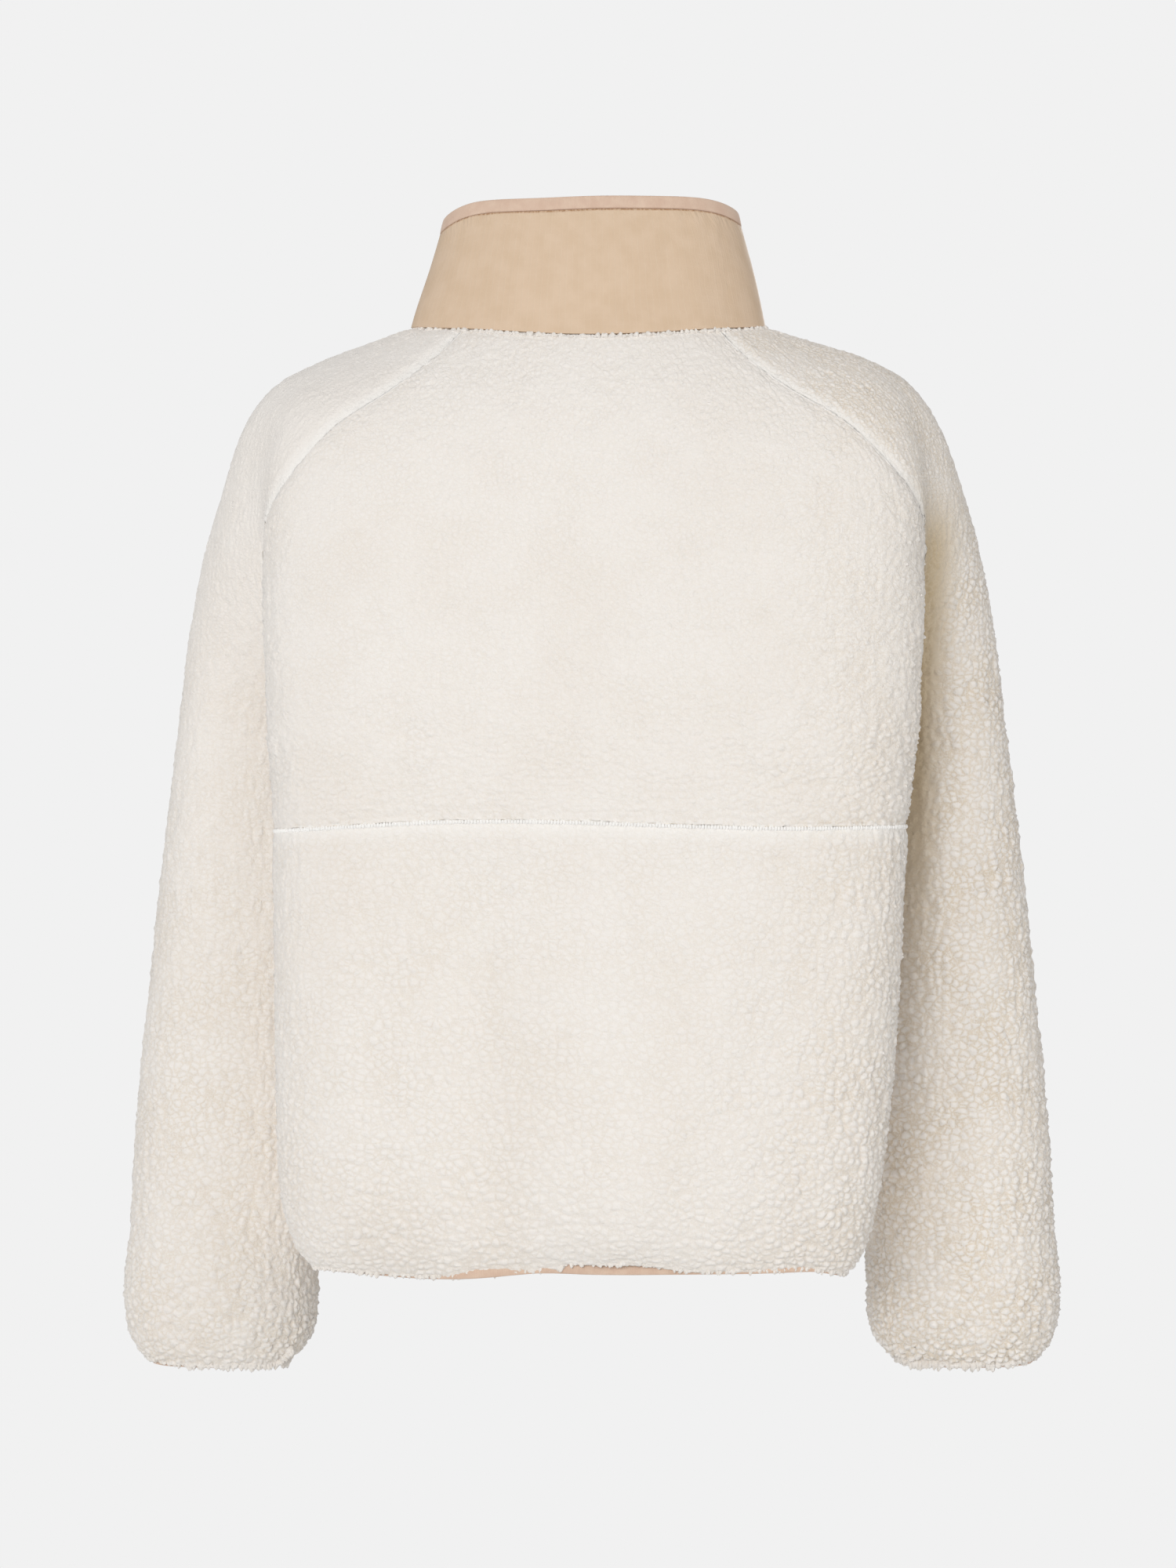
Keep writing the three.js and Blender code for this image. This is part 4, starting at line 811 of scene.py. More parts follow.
def raise_panel(node, cuts, sewn_to, beside, band_width, full, crack_shade_top, crack_shade_bottom):
    piece = fleece[node]
    mesh = piece.data
    neighbours = [other for other in sewn_to if other in fleece]
    store_places(piece, "lap", laps(piece, [other for other in neighbours if other != beside]))
    fronts = () if node.startswith("front") else ("front_left", "front_right")
    closed = close_gaps(piece, neighbours, (beside, *fronts))
    store_gaps(piece, "seam", sewn_to)
    store_places(piece, "out", outward(mesh))
    places = [vertex.co for vertex in mesh.vertices]
    store(piece, "coarse", [coarseness(place) for place in places])
    store(piece, "relief", [relief(place) for place in places])
    # The painted shadow of the body on the right sleeve.
    store(piece, "body_shadow", [body_shadow(node, place) for place in places])
    store(piece, "full", [full * MM] * len(places))
    store(piece, "shag", [shag(node, place) for place in places])
    # The painted crack shade grows towards the hem and towards the wearer's right, the side in
    # shade.
    down = [smooth(0, 520 * MM, -place.z) for place in places]
    right = [0.25 * smooth(90 * MM, 180 * MM, -place.x) for place in places]
    spread = crack_shade_bottom - crack_shade_top
    crack_shade = [crack_shade_top + spread * d + r for d, r in zip(down, right)]
    store(piece, "crack_shade", [c * (1 - 0.3 * calm(place)) for c, place in zip(crack_shade, places)])
    dips = [OVER_DIP] * len(places)
    if beside:
        gaps = [trees[beside].find_nearest(place)[3] for place in places]
        store(piece, "band", [smooth(band_width * MM, 0, gap) for gap in gaps])
        dips = [OVER_DIP + (UNDER_DIP - OVER_DIP) * smooth(12 * MM, 0, gap) for gap in gaps]
    store(piece, "dip", dips)
    for vertex in mesh.vertices:
        place = vertex.co.copy()
        vertex.co += shoulder_fill(place) + hang(node, place) + neck_drop(place)
    rims[node] = mesh.copy()
    if cuts:
        divide_outside(piece, cuts)
    add_modifier(piece, "NODES", node_group=raise_pile)
    use(piece)
    bpy.ops.object.shade_smooth()
    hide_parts(node)
    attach(piece, "jacket")
    print(piece.name, "points closed", closed, "triangles", triangles(piece))


for row in PANELS:
    raise_panel(*row)

# %% [markdown]
# ## Collar
# The stand collar is doubled ripstop nylon: a thin plain weave with a thicker thread every
# few millimetres both ways. It stands up by itself, with small gathers where the elastic
# pulls at its top edge, and on the wearer's right slanting drag lines and one soft fold.
# The lines and the fold move the points. The gathers are finer than the mesh, so they are
# bump. The threads follow the cloth, so each point stores how far it is round the neck and
# below the edge.

# %% Measure along the collar
NECK_MIDDLE_Y = -12 * MM
NECK_STEPS = 48
NEAR_POINTS = 48  # how many of the collar's points each direction is measured from


def neck_profile(node):
    """For each direction from the neck's middle: the arc from centre back, and the top edge."""
    points = [vertex.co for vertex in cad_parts[node].data.vertices]
    angles = np.array([math.atan2(p.x, p.y - NECK_MIDDLE_Y) for p in points])
    radii = np.array([math.hypot(p.x, p.y - NECK_MIDDLE_Y) for p in points])
    heights = np.array([p.z for p in points])
    table = np.linspace(-math.pi, math.pi, NECK_STEPS)
    mean, top = np.zeros(NECK_STEPS), np.zeros(NECK_STEPS)
    for k, angle in enumerate(table):
        near = np.argsort(np.abs(angles - angle))[:NEAR_POINTS]
        mean[k] = radii[near].mean()
        top[k] = heights[near].max()
    steps = (mean[1:] + mean[:-1]) / 2 * np.diff(table)
    arc = np.concatenate([[0], np.cumsum(steps)])
    return table, arc - np.interp(0, table, arc), top


neck = neck_profile("collar")


def on_collar(place):
    """Where a place is on the collar's cloth: round from centre back, and below the top."""
    angle = math.atan2(place.x, place.y - NECK_MIDDLE_Y)
    return np.interp(angle, neck[0], neck[1]), np.interp(angle, neck[0], neck[2]) - place.z


print("collar is", round(float(neck[1][-1] - neck[1][0]) / MM), "mm round")

# %% Ripstop nylon
NYLON = "#dfc6ac"
NYLON_DARK = "#dac0a4"
NYLON_THREAD = "#e9d7c2"
NYLON_SHADE = "#a97c55"  # a painted shadow along the binding's lower edge
RIPSTOP_PITCH = 3.8 * MM
THREAD_WIDTH = 0.16  # of the pitch
GATHER_PITCH, GATHER_RISE = 3.2 * MM, 1.6 * MM  # the gathers below the elastic
GATHER_REACH, GATHER_MORE = 3 * MM, 9 * MM  # how far down they run, and more at the sides


def separate(tree, vector):
    return add_node(tree, "ShaderNodeSeparateXYZ", {0: vector}).outputs


def stripes(tree, value, pitch, width):
    """1 on a line at every pitch, and 0 between them."""
    turns = maths(tree, "DIVIDE", value, pitch)
    away = maths(tree, "PINGPONG", turns, 0.5)
    return maths(tree, "SUBTRACT", 1.0, soft_step(tree, away, 0.0, width))


def ripstop_nylon():
    material, tree = new_material("ripstop nylon, plain woven")
    cloth = painted(tree, "cloth", "Vector")
    along, down, _ = separate(tree, cloth)
    warp = stripes(tree, along, RIPSTOP_PITCH, THREAD_WIDTH)
    weft = stripes(tree, down, RIPSTOP_PITCH, THREAD_WIDTH)
    grid = maths(tree, "MAXIMUM", warp, maths(tree, "MULTIPLY", weft, 0.35))
    grid = maths(tree, "MULTIPLY", grid, noise(tree, cloth, 5 * MM, 2.0))
    uneven = noise(tree, cloth, 12 * MM, 3.0)
    body = colour_mix(tree, soft_step(tree, uneven, 0.3, 0.7), NYLON_DARK, NYLON)
    colour = colour_mix(tree, maths(tree, "MULTIPLY", grid, 0.24), body, NYLON_THREAD)
    # A painted shadow along the binding's lower edge, broken up by noise.
    edge = maths(tree, "SUBTRACT", 1.0, soft_step(tree, down, 0.4 * MM, 1.4 * MM))
    broken_line = soft_step(tree, noise(tree, cloth, 1.6 * MM, 1.0), 0.35, 0.6)
    shade = maths(tree, "MULTIPLY", edge, maths(tree, "MULTIPLY_ADD", broken_line, 0.6, 0.3))
    colour = colour_mix(tree, shade, colour, NYLON_SHADE)
    threads = noise(tree, cloth, 0.7 * MM, 2.0)
    creased = noise(tree, bent(tree, cloth), 7 * MM, 3.0)
    high = maths(tree, "MULTIPLY_ADD", threads, 0.35, maths(tree, "MULTIPLY", grid, 0.7))
    high = maths(tree, "MULTIPLY_ADD", creased, 1.6, high)
    slant = add_node(
        tree, "ShaderNodeCombineXYZ", {0: maths(tree, "MULTIPLY_ADD", down, 0.35, along), 1: down}
    )
    narrow = vector_maths(tree, "MULTIPLY", slant.outputs[0], (1.0, 0.16, 1.0))
    corner = soft_step(tree, maths(tree, "ABSOLUTE", along), 30 * MM, 80 * MM)
    reach = maths(tree, "MULTIPLY_ADD", corner, GATHER_MORE, GATHER_REACH)
    near = maths(tree, "SUBTRACT", 1.0, maths(tree, "DIVIDE", down, reach), clamp=True)
    pucker = maths(tree, "MULTIPLY", noise(tree, narrow, GATHER_PITCH, 2.0), near)
    gathers = bumped(tree, pucker, 1.0, GATHER_RISE)
    bump = bumped(tree, high, 0.45, 0.35 * MM, Normal=gathers)
    finish_material(
        tree, colour, bump, roughness=0.55, specular_ior_level=0.35, sheen_weight=0.1
    )
    return material


nylon = ripstop_nylon()

# %% Shape the collar
DRAG_PITCH = 15 * MM
DRAG_RISE = 0.6 * MM
DRAG_SLOPE = math.radians(24)
SWELL_RISE = 1.4 * MM
FOLD_START = (16 * MM, 66 * MM)  # round from centre back, and below the top edge
FOLD_WAY = (-0.957, -0.291)  # the fold rises towards the wearer's right
FOLD_LENGTH, FOLD_WIDTH, FOLD_DEPTH = 85 * MM, 8 * MM, 2.4 * MM
CROWN_LEFT, CROWN_RIGHT = 5.7 * MM, 3.8 * MM  # how far the top edge is lifted on each side
FLARE_REACH = 3.2 * MM


def ripple(along, below):
    """How far the collar's cloth stands out at a place, from its drag lines and one soft fold."""
    uneven = noise_at((along / (11 * MM), below / (30 * MM), 4.1))
    across = below * math.cos(DRAG_SLOPE) + along * math.sin(DRAG_SLOPE)
    drag = math.sin(2 * math.pi * across / DRAG_PITCH + 3 * uneven)
    side = smooth(-15 * MM, -50 * MM, along) * smooth(-112 * MM, -80 * MM, along)
    swell = noise_at((along / (42 * MM), below / (50 * MM), 9.3)) * SWELL_RISE
    swell *= smooth(125 * MM, 95 * MM, abs(along))
    x, y = along - FOLD_START[0], below - FOLD_START[1]
    down_fold = x * FOLD_WAY[0] + y * FOLD_WAY[1]
    off_fold = x * FOLD_WAY[1] - y * FOLD_WAY[0]
    fold = hump(off_fold, 0, FOLD_WIDTH) * smooth(-20 * MM, 15 * MM, down_fold)
    fold *= smooth(FOLD_LENGTH, FOLD_LENGTH * 0.5, down_fold) * FOLD_DEPTH
    return (DRAG_RISE * side * drag + swell) * smooth(0, 10 * MM, below) - fold


def noise_at(place):
    return mathutils.noise.noise(Vector(place))


def crown_lift(place):
    """The collar's top edge runs flatter at the back than an even curve, and drops at the sides."""
    rise = CROWN_LEFT if place.x > 0 else CROWN_RIGHT
    across = abs(place.x) / (100 * MM)
    bow = max(math.sin(math.pi * min(across, 1) ** 2.6), 0)
    return rise * bow * smooth(20 * MM, 75 * MM, place.z) * smooth(-40 * MM, 10 * MM, place.y)


def flare(place):
    """The base of the collar spreads over the left shoulder."""
    return FLARE_REACH * smooth(45 * MM, 0, place.z) * smooth(60 * MM, 105 * MM, place.x)


def make_collar():
    piece = copy_of("collar", "collar_cloth")
    crease_rims(piece)
    add_modifier(piece, "SUBSURF", levels=2, render_levels=2)
    piece.data.materials.append(nylon)
    cloth = []
    for vertex in piece.data.vertices:
        along, below = on_collar(vertex.co)
        cloth.append((along, below, 0))
        out = Vector((vertex.co.x, vertex.co.y - NECK_MIDDLE_Y, 0)).normalized()
        vertex.co += out * ripple(along, below)
        place = vertex.co.copy()
        vertex.co += Vector((flare(place), 0, crown_lift(place))) + neck_drop(place)
    store_places(piece, "cloth", cloth)
    use(piece)
    bpy.ops.object.shade_smooth_by_angle(angle=math.radians(50))
    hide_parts("collar")
    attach(piece, "jacket")
    print("collar triangles", triangles(piece))


make_collar()

# %% [markdown]
# ## Elastic binding
# A soft knitted elastic is folded over the collar's top edge, and inside the hem and cuffs.
# Its long edges are round, so a Bevel rounds them before it is smoothed. The bindings are
# then moved by the same functions as the cloth they hold, so that they stay together.

# %% Knitted elastic
ELASTIC = "#e1c7b3"
ELASTIC_DARK = "#d9bca8"
RIB_PITCH = 1.5 * MM  # the real ribs are finer, and these are as coarse as they need to show


def knitted_elastic():
    material, tree = new_material("knitted polyester elastic")
    cloth = painted(tree, "cloth", "Vector")
    along = separate(tree, cloth)[0]
    ribs = stripes(tree, along, RIB_PITCH, 0.4)
    uneven = noise(tree, cloth, 9 * MM, 3.0)
    colour = colour_mix(tree, soft_step(tree, uneven, 0.3, 0.7), ELASTIC_DARK, ELASTIC)
    high = maths(tree, "MULTIPLY_ADD", noise(tree, cloth, 0.9 * MM), 0.8, ribs)
    bump = bumped(tree, high, 0.3, 0.25 * MM)
    finish_material(
        tree, colour, bump, roughness=0.8, specular_ior_level=0.25, sheen_weight=0.2
    )
    return material


elastic = knitted_elastic()

# %% The four bindings
BINDINGS = [
    # node, flat length and width, flat area
    ("collar_binding", (0.47, 0.0100), 0.0047),
    ("hem_binding", (0.86, 0.0100), 0.0066),
    ("cuff_binding_left", (0.25, 0.0100), 0.0020),
    ("cuff_binding_right", (0.25, 0.0100), 0.0020),
]
CUFF_RAISE = 4.5 * MM  # the cuffs' bindings are drawn up into the bloused fleece
HEM_DROP = 1.8 * MM  # and the hem's hangs a little low across the back


def round_about(piece):
    """How far round its own middle each point of a ring-shaped piece is."""
    places = [vertex.co for vertex in piece.data.vertices]
    middle = sum(places, Vector()) / len(places)
    reach = sum((place.xy - middle.xy).length for place in places) / len(places)
    return [
        (math.atan2(place.x - middle.x, place.y - middle.y) * reach, place.z, 0)
        for place in places
    ]


def make_binding(node, flat, cut):
    piece = copy_of(node, f"elastic_{node}")
    round_edges(piece, 0.9 * MM)
    add_modifier(piece, "SUBSURF", levels=1, render_levels=1)
    piece.data.materials.append(elastic)
    store_places(piece, "cloth", round_about(piece))
    for vertex in piece.data.vertices:
        if node.startswith("cuff"):
            vertex.co += hang("sleeve", vertex.co) + Vector((0, 0, CUFF_RAISE))
        elif node == "hem_binding":
            vertex.co.z -= HEM_DROP * at_back(vertex.co) + hem_sag(vertex.co)
        elif node == "collar_binding":
            vertex.co.z += crown_lift(vertex.co)
    use(piece)
    bpy.ops.object.shade_smooth()
    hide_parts(node)
    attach(piece, "jacket")
    area = sum(face.area for face in piece.data.polygons) / 2
    print(node, "triangles", triangles(piece), "area", round(area, 5))


for row in BINDINGS:
    make_binding(*row)

# %% [markdown]
# ## Zip
# A moulded zip runs up the front: two woven tapes, with small plastic teeth that alternate
# from left to right. One tooth is modelled and copied along the tapes' edge. The slider,
# the pull tab and the bottom box are the CAD solids, with a satin metal finish.

# %% Woven tape, moulded teeth and satin metal
TAPE = "#d6bb9d"
TAPE_DARK = "#c8aa89"
TOOTH = "#dcc4a8"
METAL = "#bfa98c"


def woven_tape():
    material, tree = new_material("woven polyester tape")
    place = add_node(tree, "ShaderNodeTexCoord").outputs["Object"]
    across, _, up = separate(tree, place)
    twill = maths(tree, "ADD", maths(tree, "ABSOLUTE", across), up)
    ribs = stripes(tree, twill, 1.2 * MM, 0.4)
    colour = colour_mix(tree, noise(tree, place, 6 * MM), TAPE_DARK, TAPE)
    high = maths(tree, "MULTIPLY_ADD", noise(tree, place, 0.6 * MM), 0.6, ribs)
    bump = bumped(tree, high, 0.4, 0.2 * MM)
    finish_material(tree, colour, bump, roughness=0.85, specular_ior_level=0.25)
    return material


def moulded_acetal():
    material, tree = new_material("moulded acetal")
    place = add_node(tree, "ShaderNodeTexCoord").outputs["Object"]
    mottle = noise(tree, place, 2.5 * MM)
    colour = colour_mix(tree, mottle, TOOTH, TAPE)
    bump = bumped(tree, mottle, 0.2, 0.05 * MM)
    finish_material(tree, colour, bump, roughness=0.4, specular_ior_level=0.5)
    return material


def satin_metal():
    material, tree = new_material("nickel-plated zinc, satin")
    place = add_node(tree, "ShaderNodeTexCoord").outputs["Object"]
    stretched = vector_maths(tree, "MULTIPLY", place, (1.0, 1.0, 0.08))
    brushed = noise(tree, stretched, 0.15 * MM, 3.0)
    worn = noise(tree, place, 3 * MM, 3.0)
    colour = colour_mix(tree, worn, METAL, "#cdbba2")
    bump = bumped(tree, brushed, 0.15, 0.03 * MM)
    finish_material(tree, colour, bump, metallic=1.0, roughness=0.35)
    return material


tape_cloth, acetal, metal = woven_tape(), moulded_acetal(), satin_metal()
for node in ("zip_slider", "zip_pull", "zip_box"):
    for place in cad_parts[node].material_slots:
        place.material = metal
print("zip finishes", tape_cloth.name, acetal.name, metal.name, sep=", ")

# %% Tapes
def make_tape(node):
    piece = copy_of(node, f"cloth_{node}")
    round_edges(piece, 0.35 * MM)
    piece.data.materials.append(tape_cloth)
    use(piece)
    bpy.ops.object.shade_smooth_by_angle(angle=math.radians(50))
    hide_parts(node)
    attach(piece, "jacket")
    print(node, "triangles", triangles(piece))
    return piece


tapes = [make_tape("zip_tape_left"), make_tape("zip_tape_right")]

# %% Teeth
TOOTH_PITCH = 2.4 * MM
TOOTH_SIZE = (2.6 * MM, 1.0 * MM, 1.1 * MM)  # across, out of the tape, and along it


def tape_front(node):
    """The inner edge of a tape's front face, as (height, y) pairs from the bottom up."""
    rows = {}
    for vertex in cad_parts[node].data.vertices:
        if abs(vertex.co.x) < 0.6 * MM:
            key = round(vertex.co.z / MM)
            rows[key] = min(rows.get(key, 1), vertex.co.y)
    return [(key * MM, y) for key, y in sorted(rows.items())]


def one_tooth():
    """A tooth at the origin: a rounded block whose inner end is swollen, as moulded ones are."""
    deselect_all()
    bpy.ops.mesh.primitive_cube_add(size=1, location=(0, 0, 0))
    tooth = bpy.context.object
    tooth.scale = TOOTH_SIZE
    bpy.ops.object.transform_apply(scale=True)
    for vertex in tooth.data.vertices:
        vertex.co.z *= 1.25 if vertex.co.x < 0 else 0.8
    add_modifier(tooth, "BEVEL", width=0.25 * MM, segments=1)
    return tooth


def copies(source, name, places):
    """One mesh with a copy of the source at each place, given as matrices."""
    count, corners = len(source.data.vertices), np.empty(len(source.data.vertices) * 3)
    source.data.vertices.foreach_get("co", corners)
    corners = corners.reshape(-1, 3)
    faces = [tuple(face.vertices) for face in source.data.polygons]
    points, polygons = [], []
    for index, matrix in enumerate(places):
        turned = corners @ np.array(matrix.to_3x3()).T + np.array(matrix.translation)
        points.append(turned)
        polygons += [tuple(v + index * count for v in face) for face in faces]
    mesh = bpy.data.meshes.new(name)
    mesh.from_pydata(np.concatenate(points).tolist(), [], polygons)
    piece = bpy.data.objects.new(name, mesh)
    bpy.context.scene.collection.objects.link(piece)
    return piece


def make_teeth():
    path = tape_front("zip_tape_left")
    heights, depths = zip(*path)
    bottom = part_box("zip_box")[1][2] + TOOTH_SIZE[2]
    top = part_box("zip_slider")[0][2] - TOOTH_SIZE[2]
    tooth = one_tooth()
    places = []
    for index in range(int((top - bottom) / (TOOTH_PITCH / 2))):
        z = bottom + index * TOOTH_PITCH / 2
        y, ahead = np.interp([z, z + MM], heights, depths)
        lean = Matrix.Rotation(-math.atan2(ahead - y, MM), 4, "X")
        side = 1 if index % 2 else -1
        turn = Matrix.Rotation(0 if side > 0 else math.pi, 4, "Y")
        spot = Vector((side * TOOTH_SIZE[0] * 0.32, y - TOOTH_SIZE[1] * 0.45, z))
        places.append(Matrix.Translation(spot) @ lean @ turn)
    piece = copies(tooth, "zip_teeth", places)
    bpy.data.objects.remove(tooth)
    piece.data.materials.append(acetal)
    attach(piece, "jacket")
    print("teeth", len(places), "triangles", triangles(piece))


make_teeth()
for tape in tapes:
    print(tape.name, "area", round(sum(face.area for face in tape.data.polygons) / 2, 5))

# %% [markdown]
# ## Stitches along the back seam
# The cross seam of the back is sewn with white thread, whose stitches show as a row of
# fine teeth across the join. One short stitch is a stretched sphere, bent so that its ends
# dip into the pile. It is copied along the seam, each copy with its own small turn.

# %% Sewing thread
def sewing_thread():
    material, tree = new_material("spun polyester thread")
    place = add_node(tree, "ShaderNodeTexCoord").outputs["Object"]
    strands = noise(tree, place, 0.5 * MM, 2.0)
    colour = colour_mix(tree, strands, "#fbf9f6", "#ffffff")
    bump = bumped(tree, strands, 0.4, 0.1 * MM)
    finish_material(tree, colour, bump, roughness=0.7, sheen_weight=0.2)
    return material


thread = sewing_thread()


def rim_path(node, near, limit):
    """Follows the outer edge of a smoothed panel where it lies beside a neighbour.

    Returns the places in order, each with its outward normal."""
    mesh = bmesh.new()
    mesh.from_mesh(rims[node])
    out = outward(rims[node])
    links = {}
    for edge in mesh.edges:
        kinds = {face.material_index for face in edge.link_faces}
        if kinds != {0, 1}:
            continue
        if all((near.find_nearest(v.co)[3] or 1) < limit for v in edge.verts):
            first, second = (v.index for v in edge.verts)
            links.setdefault(first, []).append(second)
            links.setdefault(second, []).append(first)
    ends = [index for index, others in links.items() if len(others) == 1]
    path = [ends[0] if ends else next(iter(links))]
    while True:
        onward = [index for index in links[path[-1]] if index not in path[-3:]]
        if not onward or onward[0] == path[0]:
            break
        path.append(onward[0])
    mesh.verts.ensure_lookup_table()
    places = [(mesh.verts[index].co.copy(), Vector(out[index])) for index in path]
    mesh.free()
    return places


def along_path(path, pitch):
    """Places at even distances along a path, with the direction and the outward normal."""
    left = 0.0
    for (first, out), (second, _) in zip(path, path[1:]):
        step = (second - first).length
        while left < step:
            yield first.lerp(second, left / step), (second - first) / step, out
            left += pitch
        left -= step


print("thread", thread.name)

# %% The stitches
STITCH_PITCH = 1.9 * MM
STITCH_SIZE = (2.1 * MM, 3.0 * MM, 1.9 * MM)  # along the seam, across it, and out of it
STITCH_BOW = 0.35 * MM  # how far its two ends dip into the pile
STITCH_DROP = TUCK + 1.9 * MM  # from the tucked edge down to the join that shows
STITCH_AHEAD = 8 * MM  # each stitch is laid from this far in front of the pile
DOWN = Vector((0, 0, -1))


def facing(along, out, place, size=1.0):
    """A matrix that turns X along a path and Z outwards, at a place."""
    x = along.normalized()
    z = (out - x * out.dot(x)).normalized()
    turn = Matrix((x, z.cross(x), z)).transposed().to_4x4()
    return Matrix.Translation(place) @ turn @ Matrix.Diagonal((size, size, size, 1))


def one_stitch():
    deselect_all()
    bpy.ops.mesh.primitive_uv_sphere_add(segments=6, ring_count=6, radius=0.5)
    stitch = bpy.context.object
    stitch.rotation_euler = (math.radians(90), 0, 0)
    bpy.ops.object.transform_apply(rotation=True)
    stitch.scale = STITCH_SIZE
    bpy.ops.object.transform_apply(scale=True)
    for vertex in stitch.data.vertices:
        vertex.co.z -= STITCH_BOW * (vertex.co.y / STITCH_SIZE[1] * 2) ** 2
    return stitch


def make_stitches():
    random.seed(7)
    panels = [surface_tree(fleece[node]) for node in ("back_upper", "back_lower")]
    source = one_stitch()
    places = []
    seam = rim_path("back_lower", trees["back_upper"], MM)
    for place, along, out in along_path(seam, STITCH_PITCH):
        start = place + DOWN * STITCH_DROP + out * STITCH_AHEAD
        hits = [tree.ray_cast(start, -out, 2 * STITCH_AHEAD)[0] for tree in panels]
        hits = [hit for hit in hits if hit is not None]
        if not hits:
            continue
        top = min(hits, key=lambda hit: (hit - start).length)
        slant = along + out.cross(along) * random.uniform(-0.12, 0.12)
        lift = out * random.uniform(0.3, 0.6) * MM
        places.append(facing(slant, out, top + lift, random.uniform(0.85, 1.12)))
    piece = copies(source, "seam_stitches", places)
    bpy.data.objects.remove(source)
    piece.data.materials.append(thread)
    use(piece)
    bpy.ops.object.shade_smooth()
    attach(piece, "jacket")
    print("stitches", len(places), "triangles", triangles(piece))
    return piece


stitches = make_stitches()

# %% [markdown]
# ## Tufts over the bound edges
# Where the fleece ends, its curls hang over the binding in small uneven tufts. One tuft is
# a short lock with a blunt tip. It is copied along the hem, the cuffs and the collar's
# base, and each copy has its own length, width and lean. Small ones also stand out along
# the right-hand edge of the back, where single curls show against the sleeve.

# %% Tufts
TUFT_SIZE = (4.6 * MM, 4.2 * MM, 6.0 * MM)
EDGES = [
    # panel, beside, how near, pitch, way it hangs, length, width, how far out it leans
    ("back_lower", "hem_binding", 9 * MM, 2.2 * MM, DOWN, 0.75, 0.85, 0.3),
    ("front_left", "hem_binding", 9 * MM, 2.8 * MM, DOWN, 0.75, 0.9, 0.3),
    ("front_right", "hem_binding", 9 * MM, 2.8 * MM, DOWN, 0.75, 0.9, 0.3),
    ("sleeve_left", "cuff_binding_left", 14 * MM, 1.3 * MM, DOWN, 1.2, 1.1, 0.35),
    ("sleeve_right", "cuff_binding_right", 14 * MM, 1.3 * MM, DOWN, 1.2, 1.1, 0.35),
    ("back_upper", "collar", 9 * MM, 1.5 * MM, -DOWN, 0.55, 0.95, 0.2),
    ("sleeve_left", "collar", 5 * MM, 1.7 * MM, -DOWN, 0.5, 0.95, 0.2),
    ("sleeve_right", "collar", 5 * MM, 1.7 * MM, -DOWN, 0.5, 0.95, 0.2),
    ("front_left", "collar", 4 * MM, 3.0 * MM, -DOWN, 0.45, 0.8, 0.5),
    ("front_right", "collar", 4 * MM, 3.0 * MM, -DOWN, 0.45, 0.8, 0.5),
]
CUFF_MIDDLES = (228 * MM, -240 * MM)  # the tufts are shorter towards the two sides of a cuff
FRINGE_FROM = -180 * MM  # the back's faces beyond this stand beside the right sleeve
FRINGE_TURN = 0.55  # faces turned further to the back than this carry no loose curls
FRINGE_SHARE = 0.035  # the share of the others where a curl stands
# How much painted crack shade the tufts carry.
TUFT_RELIEF, TUFT_CRACK_SHADE = 0.6, 0.3


def one_tuft():
    """A lock of curls that hangs along Z from the origin: round, with a blunt uneven tip."""
    deselect_all()
    bpy.ops.mesh.primitive_uv_sphere_add(segments=6, ring_count=4, radius=0.5)
    tuft = bpy.context.object
    for vertex in tuft.data.vertices:
        place = vertex.co
        place.z += 0.25
        narrow = 1.0 - 0.25 * smooth(0.15, 0.75, place.z)
        lump = 1.0 + 0.5 * noise_at(place * 2.7)
        place.x = place.x * narrow * lump + 0.18 * place.z**2
        place.y = place.y * narrow * lump
    tuft.scale = TUFT_SIZE
    bpy.ops.object.transform_apply(scale=True)
    return tuft


def side_fringe():
    """Places on the back's right-hand edge, where loose curls stand out against the sleeve."""
    for node in ("back_upper", "back_lower"):
        for face in fleece[node].data.polygons:
            edge = face.material_index == 0 and face.center.x < FRINGE_FROM
            level = smooth(-110 * MM, -150 * MM, face.center.z)
            level *= smooth(-570 * MM, -540 * MM, face.center.z)
            edge = edge and abs(face.normal.y) < FRINGE_TURN
            if edge and random.random() < FRINGE_SHARE * level:
                yield face.center.copy(), face.normal.copy()


